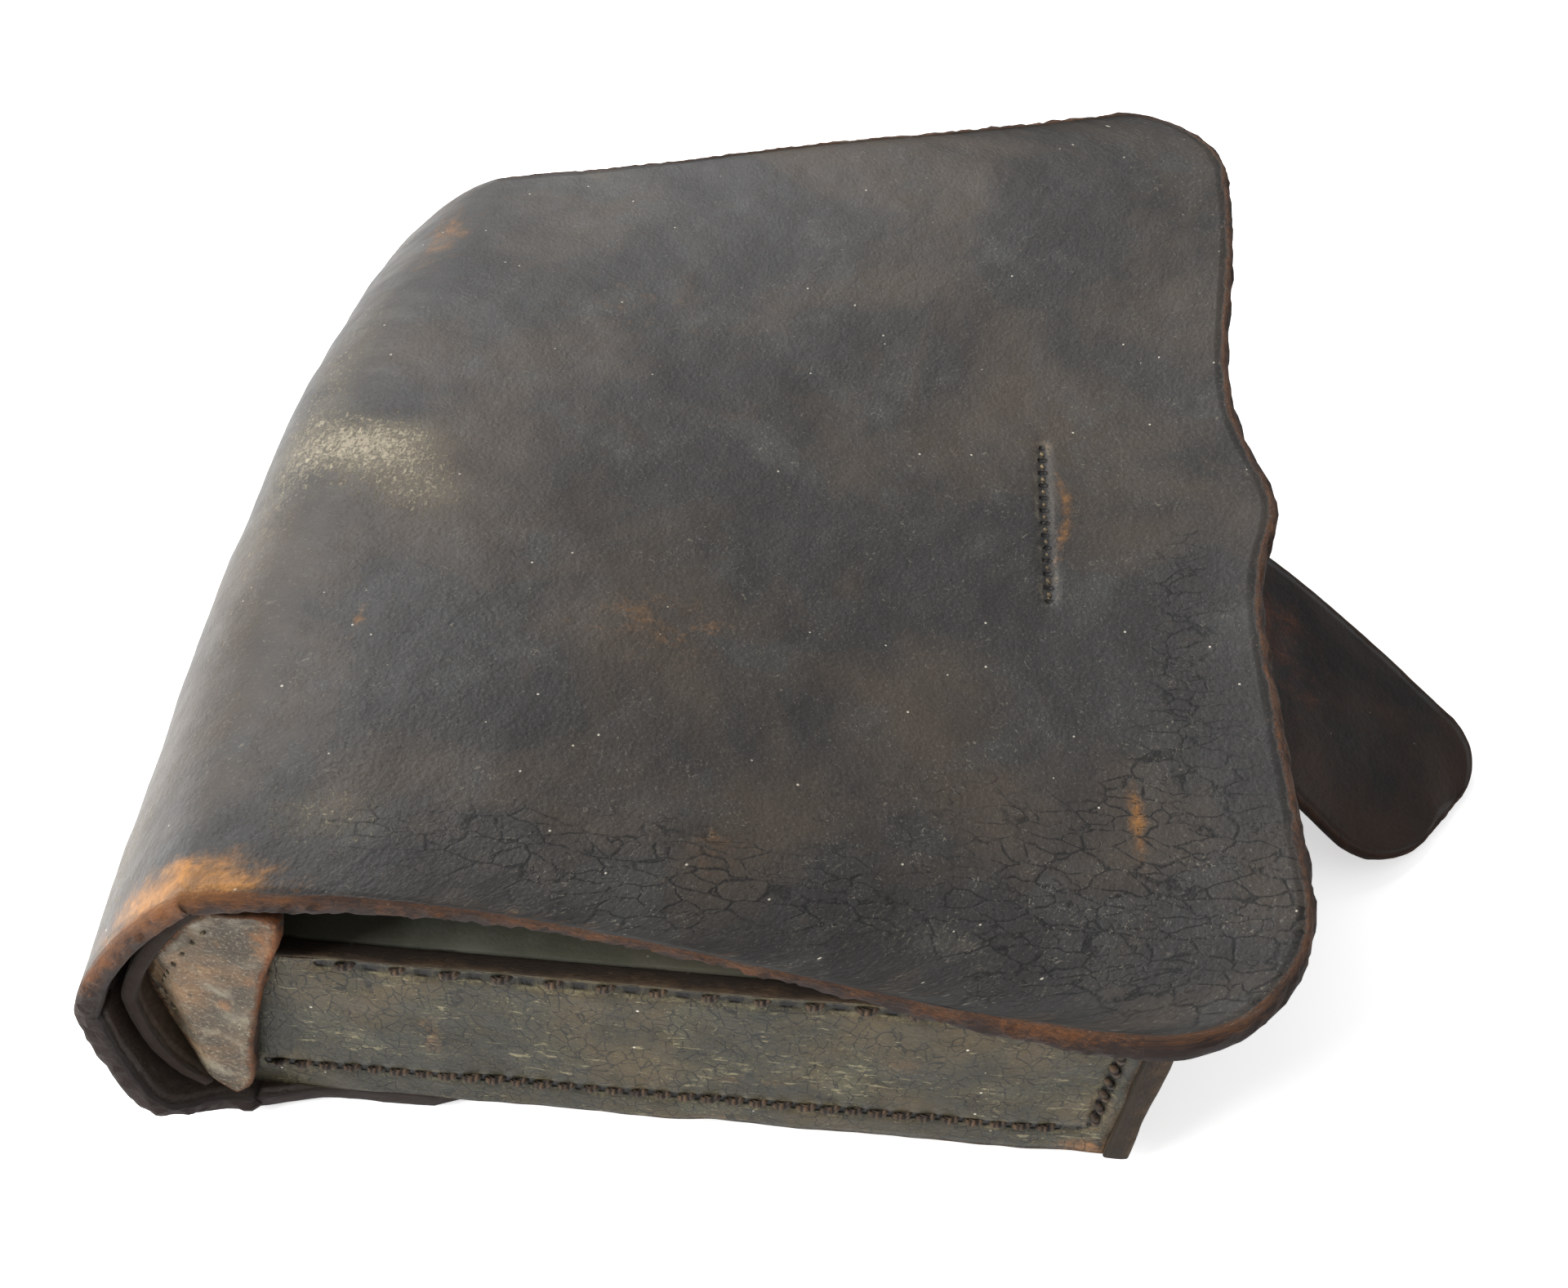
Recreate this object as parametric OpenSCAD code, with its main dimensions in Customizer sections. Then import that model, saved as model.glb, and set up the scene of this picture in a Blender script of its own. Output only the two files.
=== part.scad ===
/* [Body of the case] */
// Length of the box from its mouth to its bottom end
body_len = 136; // [120:1:150]
// Width of the box across the two end walls
body_w = 190; // [170:2:210]
// Depth of the box from its back to its front
body_d = 36; // [30:1:42]
// Thickness of the end walls
wall_t = 3; // [2.4:0.1:3.6]
// Thickness of the front, back and bottom panels
panel_t = 3.2; // [2.4:0.1:3.6]

/* [Cover] */
// Thickness of the heavy cover leather
cover_t = 3.8; // [3:0.1:4.4]
// How far the cover stands past each end wall at its fold
overhang = 6; // [4:0.5:8]
// How far the fold stands out in front of the mouth
fold_reach = 16; // [14:1:22]
// Height of the fold's crown above the back at the near end
crown_near = 57; // [54:0.5:60]
// Height of the fold's crown above the back at the far end
crown_far = 47.5; // [46.5:0.5:52]
// How far the flap reaches past the bottom end, beside its centre point
flap_reach = 17.5; // [12:0.5:22]
// Radius of the flap's near lower corner
corner_r = 26; // [18:1:32]
// Radius of the flap's far lower corner
far_corner_r = 18; // [14:1:32]

/* [Inner flap] */
// Thickness of the inner flap and its ears
inner_t = 2.2; // [1.6:0.1:2.6]
// How far the inner flap reaches over the front
inner_reach = 40; // [30:1:50]

/* [Latch] */
// Width of the latch tab where it is sewn on
tab_w = 43; // [36:1:50]
// Thickness of the latch tab
tab_t = 2; // [1.6:0.1:2.2]

/* [Belt loops] */
// Width of each belt loop
loop_w = 30; // [20:1:40]
// Length of each belt loop between its sewn ends
loop_span = 62; // [52:1:66]
// Clear height for the belt under each loop
loop_gap = 4.3; // [4.2:0.1:4.3]
// Distance of each belt loop's middle from the case's middle
loop_y = 50; // [40:1:60]

/* [Hidden] */
$fn = 48;

// Leather colours, and the thread's.
cover_leather = "#3b3531";
fold_leather = "#4a3a2c";
box_leather = "#36342f";
wall_leather = "#3f4038";
tab_leather = "#241d1a";
loop_leather = "#3d342c";
thread = "#5b5542";

loop_t = 1.6;
margin_t = 1.1;
cover_back_t = 3.2;
// Heights: the back panel lies on the belt loops, and the end walls reach a little below it.
back_z = loop_t + loop_gap;
wall_z = back_z - margin_t;
top_z = wall_z + body_d;
// The origin is at the middle of the whole object's footprint, so the box lies left of it.
tab_reach = 76.53;
end_x = (body_len + fold_reach - tab_reach) / 2;
mouth_x = end_x - body_len;
half_w = body_w / 2;
crown_dx = 6;
crown_x = mouth_x + crown_dx;
cover_bottom = wall_z - cover_back_t;
rim = half_w + overhang;
pitch = 3.5;
wall_pitch = 3.6;
top_pitch = 2 * wall_pitch;
seam_in = 6.6;

function lerp(a, b, t) = a + (b - a) * t;
function smooth(t) = let (c = min(1, max(0, t))) c * c * (3 - 2 * c);
function spow(x, p) = sign(x) * pow(abs(x), p);
function unit(v) = v / norm(v);

// ---- The cover's outer surface: fold(phi, v) round the mouth, flap(s, v) over the front ----
// v runs from -1 at the near edge to 1 at the far edge.
// The fold is squarer where it lies on the table than at its crown.
function fold_power(phi) = phi < 0 ? 0.88 : 1.06;
function crown(v) = wall_z + lerp(crown_near, crown_far, (v + 1) / 2);
function fold(phi, v) =
    let (zm = (cover_bottom + crown(v)) / 2, b = crown(v) - zm, p = fold_power(phi))
    [crown_x - (fold_reach + crown_dx) * spow(cos(phi), p), v * rim, zm + b * spow(sin(phi), p)];

function half_width(s, v) = v < 0 ? rim - 24 * s + 23.5 * s * s : rim;
// The lower edge: a blunt point in the middle, shallow shoulders beside it, and a rounded corner at each end.
point_reach = 5.5;
point_spread = 13;
function corner_cut(y) =
    let (r = y < 0 ? corner_r : far_corner_r, c = max(0, abs(y) - (half_width(1, y) - r)) / r)
    r * (1 - sqrt(max(0, 1 - c * c)));
function edge_x(y) =
    end_x + flap_reach + point_reach * exp(-pow(y / point_spread, 2))
    + (y < 0 ? 1 : 3) * smooth((abs(y) - 25) / 50) - corner_cut(y);
// The flap rests on the inner flap at its crown, dips a little, and springs clear of the box at its edge.
function rise(s, v) =
    let (q = s * s, k = s * s * s)
    crown(v) - 39 * q + 41 * k + (60 * q - 41 * k) * v + (22 * q - 18 * k) * v * v;
function flap(s, v) =
    [lerp(crown_x, edge_x(v * half_width(1, v)), s), v * half_width(s, v), rise(s, v)];

// The cover as one strip: t below 0 is the fold (phi = 90 + 180 t), t above 0 the flap.
function cover(t, v) = t <= 0 ? fold(90 + 180 * t, v) : flap(t, v);
function cover_normal(t, v) =
    let (d = cover(t + 0.004, v) - cover(t - 0.004, v)) unit([-d[2], 0, d[0]]);
function cover_in(t, v, depth) = cover(t, v) - depth * cover_normal(t, v);

// A closed sheet between two grids of points.
module sheet(outer, inner) {
    rows = len(outer);
    cols = len(outer[0]);
    n = rows * cols;
    points = [for (g = [outer, inner]) for (r = g) for (p = r) p];
    function at(i, j) = i * cols + j;
    faces = [
        for (i = [0 : rows - 2]) for (j = [0 : cols - 2]) each [
            [at(i + 1, j + 1), at(i + 1, j), at(i, j)],
            [at(i, j + 1), at(i + 1, j + 1), at(i, j)],
            [n + at(i + 1, j), n + at(i + 1, j + 1), n + at(i, j)],
            [n + at(i + 1, j + 1), n + at(i, j + 1), n + at(i, j)]],
        for (i = [0 : rows - 2]) each [
            [n + at(i + 1, 0), n + at(i, 0), at(i, 0)],
            [at(i + 1, 0), n + at(i + 1, 0), at(i, 0)],
            [n + at(i, cols - 1), n + at(i + 1, cols - 1), at(i, cols - 1)],
            [n + at(i + 1, cols - 1), at(i + 1, cols - 1), at(i, cols - 1)]],
        for (j = [0 : cols - 2]) each [
            [n + at(0, j + 1), at(0, j + 1), at(0, j)],
            [n + at(0, j), n + at(0, j + 1), at(0, j)],
            [at(rows - 1, j + 1), n + at(rows - 1, j + 1), at(rows - 1, j)],
            [n + at(rows - 1, j + 1), n + at(rows - 1, j), at(rows - 1, j)]]
    ];
    polyhedron(points, faces);
}

module cover_strip(ts, vs) {
    sheet([for (t = ts) [for (v = vs) cover(t, v)]],
          [for (t = ts) [for (v = vs) cover_in(t, v, cover_t)]]);
}

// Where the cover bends: the three hinge lines on its outer surface.
t_base = -0.905;
t_mid = -0.5;
t_top = -0.16;
t_gap = 0.004;
fold_vs = [-1 : 0.25 : 1];

module cover_back() {
    seam_x = mouth_x + 36;
    low = fold(90 + 180 * (t_base - t_gap), 0)[0] + 1.8;
    color(cover_leather) translate([low, -half_w + 1, cover_bottom])
        cube([seam_x - low, body_w - 2, cover_back_t]);
}
module fold_lower() {
    color(fold_leather)
        cover_strip([for (i = [0 : 10]) lerp(t_base + t_gap, t_mid - t_gap, i / 10)], fold_vs);
}
module fold_upper() {
    color(fold_leather)
        cover_strip([for (i = [0 : 8]) lerp(t_mid + t_gap, t_top - t_gap, i / 8)], fold_vs);
}
module outer_flap() {
    ts = concat([for (i = [0 : 4]) lerp(t_top + t_gap, 0, i / 4)], [for (i = [1 : 26]) i / 26]);
    vs = [for (j = [-30 : 30]) sin(j * 3)];
    color(cover_leather) cover_strip(ts, vs);
}

// ---- The box ----
// A plate with both of its mouth corners rounded.
module rounded_plate(x0, x1, w, z0, t, r) {
    translate([0, 0, z0]) linear_extrude(t) difference() {
        translate([x0, -w / 2]) square([x1 - x0, w]);
        for (s = [-1, 1]) translate([x0, s * w / 2]) difference() {
            square(2 * r, center = true);
            translate([r, -s * r]) circle(r);
            translate([r, -3 * r]) square(6 * r);
            translate([-3 * r, s > 0 ? -7 * r : r]) square(6 * r);
        }
    }
}
// The panels stop a hair short of the leather that they are sewn to.
seam_gap = 0.1;
inner_w = body_w - 2 * (wall_t + seam_gap);
panel_end = end_x - panel_t - seam_gap;
front_set_back = 7;
front_set_in = 0.4;
module front_panel() {
    color(box_leather)
        rounded_plate(mouth_x + front_set_back, panel_end, inner_w, top_z - front_set_in - panel_t, panel_t,
                      wall_corner_r + 1);
}
module back_panel() {
    color(box_leather) translate([mouth_x, -inner_w / 2, back_z])
        cube([panel_end - mouth_x, inner_w, panel_t]);
}
module bottom_panel() {
    color(box_leather) translate([end_x - panel_t, -half_w, wall_z]) cube([panel_t, body_w, body_d]);
}
// An end wall, with its mouth corners rounded, seen from the side.
wall_corner_r = 5;
module end_wall(y0) {
    r = wall_corner_r;
    color(wall_leather) translate([0, y0 + wall_t, 0]) rotate([90, 0, 0]) linear_extrude(wall_t) {
        translate([mouth_x + r, wall_z]) square([panel_end - mouth_x - r, body_d]);
        translate([mouth_x, wall_z + r]) square([r + 1, body_d - 2 * r]);
        for (z = [wall_z + r, top_z - r]) translate([mouth_x + r, z]) circle(r);
    }
}

// ---- Inner flap: it follows the inside of the fold from its hem, then lies over the front ----
inner_gap = 1.8;
// Where its hem lies round the fold, in degrees below the fold's foremost line.
hem_phi = -62;
hem_power = 0.75;
function shoulder_z(v) = crown(v) - cover_t - 1.6;
function inner_arc(phi, v) =
    let (r = fold_reach + crown_dx - cover_t - inner_gap, zm = (cover_bottom + crown(v)) / 2,
         b = phi < 0 ? zm - back_z - 0.6 : shoulder_z(v) - zm, p = phi < 0 ? hem_power : fold_power(phi))
    [crown_x - r * spow(cos(phi), p), zm + b * spow(sin(phi), p)];
function inner_outline(v) = concat(
    [for (i = [0 : 15]) inner_arc(lerp(hem_phi, 90, i / 15), v)],
    [for (i = [1 : 6]) [crown_x + inner_reach * i / 6, lerp(shoulder_z(v), top_z + 4.6, smooth(i / 7))]]);
// The same outline moved inwards by d.
function inset(path, d) = [for (i = [0 : len(path) - 1])
    let (a = path[max(0, i - 1)], b = path[min(len(path) - 1, i + 1)], t = unit(b - a))
    path[i] + d * [t[1], -t[0]]];
ear_w = 2.7;
ear_y = half_w + 0.3;
inner_rim = ear_y + ear_w;
module inner_flap() {
    vs = [-1 : 0.25 : 1];
    function narrow(x) = 20 * smooth((x - mouth_x - 4) / 30);
    function lift(path, v) = [for (p = path) [p[0], v * (inner_rim - narrow(p[0])), p[1]]];
    across = [for (v = vs) lift(inner_outline(v), v)];
    under = [for (v = vs) lift(inset(inner_outline(v), inner_t), v)];
    color(box_leather) sheet([for (i = [0 : len(across[0]) - 1]) [for (c = across) c[i]]],
                             [for (i = [0 : len(under[0]) - 1]) [for (c = under) c[i]]]);
}
module inner_flap_margin() {
    color(box_leather) translate([mouth_x, -half_w + 4, wall_z]) cube([24, body_w - 8, margin_t]);
}
// An ear fills the end of the inner flap, inside its leather, down to a blunt toe.
function ear_outline(v) =
    let (path = inset(inner_outline(v), inner_t + 0.08), z = shoulder_z(v))
    concat([for (i = [0 : 16]) path[i]],
           [[mouth_x + 15.5, path[16][1] - 1], [mouth_x + 14.5, z - 9], [mouth_x + 10, z - 20],
            [mouth_x + 6, z - 36], [mouth_x + 4.6, back_z + 4.4], [mouth_x + 3.2, back_z + 2.6]]);
module ear(v) {
    y = v < 0 ? -ear_y : inner_rim;
    color(wall_leather) translate([0, y, 0]) rotate([90, 0, 0]) linear_extrude(ear_w) polygon(ear_outline(v));
}

// ---- Latch tab: sewn under the flap, bending down and towards the near side ----
latch_y = -3;
tab_tilt = 0.09;
tab_a = [end_x - 18, latch_y, wall_z + 41.4];
tab_b = [end_x + 12, latch_y, wall_z + 45];
tab_c = [end_x + 36, -7, wall_z + 16];
tab_d = [end_x + 67.5, -19, 2.4];
function tab_mid(t) = let (u = 1 - t)
    u * u * u * tab_a + 3 * u * u * t * tab_b + 3 * u * t * t * tab_c + t * t * t * tab_d;
// The tab twists towards the near side as it falls, and its tip is rounded.
tab_twist = 40;
tip_from = 0.92;
function tab_across(t) =
    let (a = tab_twist * smooth(t * 1.05)) unit([sin(a), cos(a), tab_tilt * (1 - smooth(t * 1.3))]);
function tab_half(t) = tab_w / 2 * (1 - 0.38 * pow(max(0, t - tip_from) / (1 - tip_from), 1.7));
function tab_normal(t) = unit(cross(tab_mid(t + 0.01) - tab_mid(t - 0.01), tab_across(t)));
module tab_strip(t0, t1, n) {
    ts = [for (i = [0 : n]) lerp(t0, t1, i / n)];
    vs = [-1 : 0.25 : 1];
    function at(t, v, d) = tab_mid(t) + v * tab_half(t) * tab_across(t) + d * tab_normal(t);
    sheet([for (t = ts) [for (v = vs) at(t, v, tab_t / 2)]],
          [for (t = ts) [for (v = vs) at(t, v, -tab_t / 2)]]);
}
// Where the tab bends, and half of the gap that the bend leaves.
t_flex = 0.36;
t_flex_gap = 0.007;
module latch_tab_root() {
    color(tab_leather) tab_strip(0, t_flex - t_flex_gap, 6);
}
module latch_tab() {
    color(tab_leather) tab_strip(t_flex + t_flex_gap, 1, 20);
}

// ---- Loops ----
// A strap bridge in the XZ plane: feet at both ends, standing off by its gap.
module bridge(span, foot, rise_z, t, w) {
    translate([0, w / 2, 0]) rotate([90, 0, 0]) linear_extrude(w) {
        translate([-span / 2, -rise_z - t]) square([span, t]);
        for (s = [-1, 1]) {
            translate([s * span / 2 - (s < 0 ? t : 0), -rise_z - t]) square([t, rise_z + t]);
            translate([s > 0 ? span / 2 : -span / 2 - foot, -t]) square([foot, t]);
        }
    }
}
loop_x = mouth_x + 84;
module belt_loop(y) {
    color(loop_leather) translate([loop_x, y, back_z]) bridge(loop_span, 10, loop_gap, loop_t, loop_w);
}
keeper_gap = 4.6;
keeper_t = 1.6;
keeper_h = 15;
keeper_z = wall_z + 18;
keeper_span = tab_w + 9;
module keeper_loop() {
    color(loop_leather) translate([end_x, 0, keeper_z]) rotate([0, -90, 0]) rotate([0, 0, 90])
        bridge(keeper_span, 9, keeper_gap, keeper_t, keeper_h);
}

// ---- Threads: every stitch is a short solid on the leather's surface ----
stitch_l = 2.7;
stitch_w = 0.8;
stitch_h = 0.5;
latch_stitch_l = 2.2;
module row_x(x0, x1, y, z, out, step) {
    n = floor((x1 - x0) / step);
    yy = out < 0 ? y - stitch_h : y;
    for (i = [0 : n - 1]) translate([x0 + (i + 0.5) * step - stitch_l / 2, yy, z - stitch_w / 2])
        cube([stitch_l, stitch_h, stitch_w]);
}
module row_z(x, y, z0, z1, out) {
    n = floor((z1 - z0) / wall_pitch);
    yy = out < 0 ? y - stitch_h : y;
    for (i = [0 : n - 1]) translate([x - stitch_w / 2, yy, z0 + (i + 0.5) * wall_pitch - stitch_l / 2])
        cube([stitch_w, stitch_h, stitch_l]);
}
module wall_thread(y, out) {
    seam_end = end_x - panel_t;
    color(thread) {
        row_x(mouth_x + 6, seam_end - 5, y, wall_z + seam_in, out, wall_pitch);
        row_x(mouth_x + 18, seam_end - 7, y, top_z - 1.6, out, top_pitch);
        row_z(seam_end - 3, y, wall_z + seam_in + 2, top_z - 3, out);
    }
}
module bottom_thread() {
    color(thread) for (s = [-1, 1]) for (i = [0 : 8])
        translate([end_x, s * (half_w - 4) - stitch_w / 2, wall_z + 3 + i * pitch])
            cube([stitch_h, stitch_w, stitch_l]);
}
module cover_thread() {
    n = floor((body_w - 16) / pitch);
    color(thread) for (i = [0 : n - 1])
        translate([mouth_x + 31, (i - n / 2) * pitch, cover_bottom - stitch_h])
            cube([stitch_w, stitch_l, stitch_h]);
}
latch_n = 12;
latch_pitch = 3;
latch_x = end_x - 15;
module latch_thread() {
    s = (latch_x - crown_x) / (edge_x(0) - crown_x);
    color(thread) for (i = [0 : latch_n - 1]) {
        y = latch_y + (i - (latch_n - 1) / 2) * latch_pitch;
        translate([latch_x, y - latch_stitch_l / 2, rise(s, y / rim) + 0.2])
            cube([stitch_w, latch_stitch_l, stitch_h]);
    }
}
module ear_thread(v) {
    path = inset(inner_outline(v), inner_t + 3);
    y = v < 0 ? -inner_rim - stitch_h : inner_rim;
    color(thread) for (i = [3 : 15])
        translate([path[i][0] - stitch_w / 2, y, path[i][1] - stitch_w / 2])
            cube([stitch_w, stitch_h, stitch_w]);
}
// Each foot of a loop has two rows of stitches.
foot_seam_in = 3.4;
module keeper_thread() {
    x = end_x + keeper_t;
    z0 = keeper_z - keeper_h / 2 + 0.9;
    color(thread) for (s = [-1, 1]) for (row = [0, 3]) for (i = [0 : 3])
        translate([x, s * (keeper_span / 2 + foot_seam_in + row) - stitch_w / 2, z0 + i * pitch])
            cube([stitch_h, stitch_w, stitch_l]);
}
module loop_thread(y) {
    y0 = y - loop_w / 2 + 1;
    z = back_z - loop_t - stitch_h;
    color(thread) for (s = [-1, 1]) for (row = [0, 3.6]) for (i = [0 : 7])
        translate([loop_x + s * (loop_span / 2 + foot_seam_in + row) - stitch_w / 2, y0 + i * pitch, z])
            cube([stitch_w, stitch_l, stitch_h]);
}

front_panel();
back_panel();
bottom_panel();
end_wall(-half_w);  // near_end_wall
end_wall(half_w - wall_t);  // far_end_wall
cover_back();
fold_lower();
fold_upper();
outer_flap();
inner_flap_margin();
inner_flap();
ear(-1);  // near_ear
ear(1);  // far_ear
latch_tab_root();
latch_tab();
keeper_loop();
belt_loop(-loop_y);  // near_belt_loop
belt_loop(loop_y);  // far_belt_loop
wall_thread(-half_w, -1);  // near_wall_thread
wall_thread(half_w, 1);  // far_wall_thread
bottom_thread();
cover_thread();
latch_thread();
ear_thread(-1);  // near_ear_thread
ear_thread(1);  // far_ear_thread
keeper_thread();
loop_thread(-loop_y);  // near_loop_thread
loop_thread(loop_y);  // far_loop_thread
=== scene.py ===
# %% [markdown]
# # A heavy leather flap case
# We build an old saddler's case: a stitched leather box, lying on its back, with one thick
# cover folded round its mouth and over its front, and a latch tab hanging from the cover.
# The exact solids of the case are loaded first. They are the skeleton: every leather piece we make here is
# laid over one of them and hides it.

import math

import bpy
import numpy as np
from mathutils import Matrix, Vector


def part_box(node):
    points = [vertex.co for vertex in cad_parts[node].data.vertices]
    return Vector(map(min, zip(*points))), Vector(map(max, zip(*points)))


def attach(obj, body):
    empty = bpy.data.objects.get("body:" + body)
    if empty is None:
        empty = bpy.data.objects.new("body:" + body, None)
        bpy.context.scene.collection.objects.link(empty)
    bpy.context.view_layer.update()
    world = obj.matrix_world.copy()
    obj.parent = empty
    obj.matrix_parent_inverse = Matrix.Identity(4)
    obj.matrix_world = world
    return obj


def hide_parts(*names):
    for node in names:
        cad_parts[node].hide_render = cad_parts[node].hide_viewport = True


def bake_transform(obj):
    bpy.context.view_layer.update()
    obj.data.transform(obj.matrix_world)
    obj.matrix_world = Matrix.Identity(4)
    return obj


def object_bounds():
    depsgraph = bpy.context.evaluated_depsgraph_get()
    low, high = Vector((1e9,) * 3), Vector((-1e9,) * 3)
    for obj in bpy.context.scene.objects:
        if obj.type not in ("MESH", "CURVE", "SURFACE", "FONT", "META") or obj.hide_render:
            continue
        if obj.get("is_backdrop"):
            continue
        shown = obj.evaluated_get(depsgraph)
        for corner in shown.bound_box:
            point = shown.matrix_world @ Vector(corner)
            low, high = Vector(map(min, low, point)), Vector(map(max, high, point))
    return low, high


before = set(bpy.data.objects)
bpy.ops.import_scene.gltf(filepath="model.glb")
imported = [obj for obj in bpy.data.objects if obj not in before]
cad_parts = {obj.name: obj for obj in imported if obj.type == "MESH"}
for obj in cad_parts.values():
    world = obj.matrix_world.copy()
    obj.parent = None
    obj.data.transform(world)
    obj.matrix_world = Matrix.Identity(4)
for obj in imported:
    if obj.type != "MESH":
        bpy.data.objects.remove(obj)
cad_low, cad_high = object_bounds()
print("case size in mm:", [round(1000 * (b - a), 1) for a, b in zip(cad_low, cad_high)])

# %% [markdown]
# ## The camera
# A case like this is looked at from close by, over its near end, so the perspective is strong.
# A slightly wide 35 mm lens, 0.3 m away, tipped halfway down gives that view. We work out the
# three directions of the camera ourselves, so that the tilt of the horizon is exact.


# %%
def place_camera(spot, down, turn, roll, lens):
    camera = bpy.data.objects.new("Camera", bpy.data.cameras.new("Camera"))
    bpy.context.scene.collection.objects.link(camera)
    camera.data.lens = lens
    camera.data.sensor_width = 36
    camera.data.clip_start = 0.01
    down, turn, roll = (math.radians(a) for a in (down, turn, roll))
    ahead = Vector((math.sin(turn) * math.cos(down), math.cos(turn) * math.cos(down), -math.sin(down)))
    right = Vector((math.cos(turn), -math.sin(turn), 0))
    up = right.cross(ahead)
    side = math.cos(roll) * right + math.sin(roll) * up
    top = math.cos(roll) * up - math.sin(roll) * right
    camera.matrix_world = Matrix.Translation(spot) @ Matrix((side, top, -ahead)).transposed().to_4x4()
    bpy.context.scene.camera = camera
    return camera


camera = place_camera(spot=(-0.019, -0.2082, 0.2216), down=44.9, turn=-0.5, roll=4.5, lens=35.06)
print("camera height above the table, mm:", round(1000 * camera.location.z))

# %% [markdown]
# ## Table and light
# Dark leather shows its shape by what it mirrors, so it wants big soft sources and a bright
# table. A white sky lights every side alike. One large soft lamp behind the fold, on the left,
# makes the sheen that runs along the fold and the faint shadow under the latch tab.


# %%
def soft_lamp(name, spot, aim, size, watts):
    lamp = bpy.data.objects.new(name, bpy.data.lights.new(name, "AREA"))
    bpy.context.scene.collection.objects.link(lamp)
    lamp.data.size = size
    lamp.data.energy = watts
    lamp.location = spot
    lamp.rotation_mode = "QUATERNION"
    lamp.rotation_quaternion = (Vector(aim) - Vector(spot)).to_track_quat("-Z", "Y")
    return lamp


def white_table():
    bpy.ops.mesh.primitive_plane_add(size=6, location=(0, 0, 0))
    table = bpy.context.object
    table.name = "table"
    paint = bpy.data.materials.new("white table")
    paint.use_nodes = True
    shader = paint.node_tree.nodes["Principled BSDF"]
    shader.inputs["Base Color"].default_value = (0.93, 0.93, 0.93, 1)
    shader.inputs["Roughness"].default_value = 0.9
    shader.inputs["Specular IOR Level"].default_value = 0.1
    shader.inputs["Emission Color"].default_value = (1, 1, 1, 1)
    shader.inputs["Emission Strength"].default_value = 0.56
    table.data.materials.append(paint)
    table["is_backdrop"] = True
    return table


world = bpy.data.worlds.new("white room")
world.use_nodes = True
world.node_tree.nodes["Background"].inputs[0].default_value = (1, 1, 1, 1)
world.node_tree.nodes["Background"].inputs[1].default_value = 0.5
bpy.context.scene.world = world
bpy.context.scene.view_settings.view_transform = "Standard"
white_table()
soft_lamp("window beside the fold", (-0.62, -0.26, 0.46), (-0.06, -0.03, 0.03), 0.55, 12)
soft_lamp("high window behind", (-0.5, 0.6, 0.75), (-0.03, 0, 0.04), 0.7, 8)

# %% [markdown]
# ## Measurements
# A saddler works from a few sizes: the box, the thickness of each hide, and how far the cover
# stands out. The sizes of the box come from the loaded solids. Everything is in millimetres
# until a mesh is made, because that is how leather is measured.

# %%
MM = 0.001


def box_mm(node):
    low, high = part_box(node)
    return np.array(low) / MM, np.array(high) / MM


wall_low, wall_high = box_mm("near_end_wall")
bottom_high = box_mm("bottom_panel")[1]
back_low, back_high = box_mm("back_panel")
mouth_x, end_x = wall_low[0], bottom_high[0]
wall_z, top_z = wall_low[2], wall_high[2]
half_w = bottom_high[1]
back_z = back_low[2]
cover_low = box_mm("cover_back")[0][2]
fold_left = box_mm("fold_lower")[0][0]
rim = box_mm("fold_lower")[1][1]
cover_t, inner_t, tab_t, wall_t = 3.8, 2.2, 2.0, wall_high[1] - wall_low[1]
crown_near, crown_far = wall_z + 57.0, wall_z + 47.5
crown_x = mouth_x + 6
print("box length, width, depth in mm:", round(end_x - mouth_x), round(2 * half_w), round(top_z - wall_z))

# %% [markdown]
# ## Small shaping tools
# Leather is never flat: it swells and sinks a little everywhere. `ripple` adds that with a few
# crossing waves of random direction. The waves come from a fixed seed, so that the case is the
# same each time it is made. `smooth` is the gentle S-curve used wherever one shape fades into
# another.


# %%
def smooth(t):
    t = np.clip(t, 0, 1)
    return t * t * (3 - 2 * t)


def lerp(a, b, t):
    return a + (b - a) * t


def ripple(u, v, size, seed, waves=9):
    rng = np.random.default_rng(seed)
    total = np.zeros(np.broadcast(u, v).shape)
    for _ in range(waves):
        angle, phase = rng.uniform(0, 2 * math.pi, 2)
        length = size * rng.uniform(0.6, 1.7)
        total += np.sin((u * math.cos(angle) + v * math.sin(angle)) * 2 * math.pi / length + phase)
    return total / math.sqrt(waves)


def marks(u, v, *places):
    """Adds up worn places. Each is how strong, where in mm, and how far it spreads each way."""
    total = np.zeros(u.shape)
    for strength, at, spread in places:
        total += strength * np.exp(-(((u - at[0]) / spread[0]) ** 2) - ((v - at[1]) / spread[1]) ** 2)
    return total


def unit(v):
    return v / np.maximum(np.linalg.norm(v, axis=-1, keepdims=True), 1e-9)


print("ripple height at a few places:", ripple(np.arange(4.0), 0.0, 30, 1).round(2))

# %% [markdown]
# ## From points to a piece
# Blender builds a mesh from a list of points and a list of faces. `make_piece` does that for us,
# and also stores three numbers, a note, on every point. The finishes read these notes later.

# %%
def make_piece(name, points, faces, finish, notes):
    """Makes an object from points in mm and faces, with a named note on every point."""
    mesh = bpy.data.meshes.new(name)
    mesh.from_pydata((points * MM).tolist(), [], faces)
    for label, values in notes.items():
        data = mesh.attributes.new(label, "FLOAT_VECTOR", "POINT").data
        data.foreach_set("vector", values.ravel().astype(np.float32))
    mesh.polygons.foreach_set("use_smooth", [True] * len(mesh.polygons))
    mesh.materials.append(finish)
    mesh.update()
    piece = bpy.data.objects.new(name, mesh)
    bpy.context.scene.collection.objects.link(piece)
    return piece


def lay_over(piece, body, slot, *nodes):
    """Lets a piece ride on a body of the case, and hide the solids that it covers."""
    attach(piece, body)
    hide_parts(*nodes)
    return piece


print("piece helpers ready")

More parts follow.
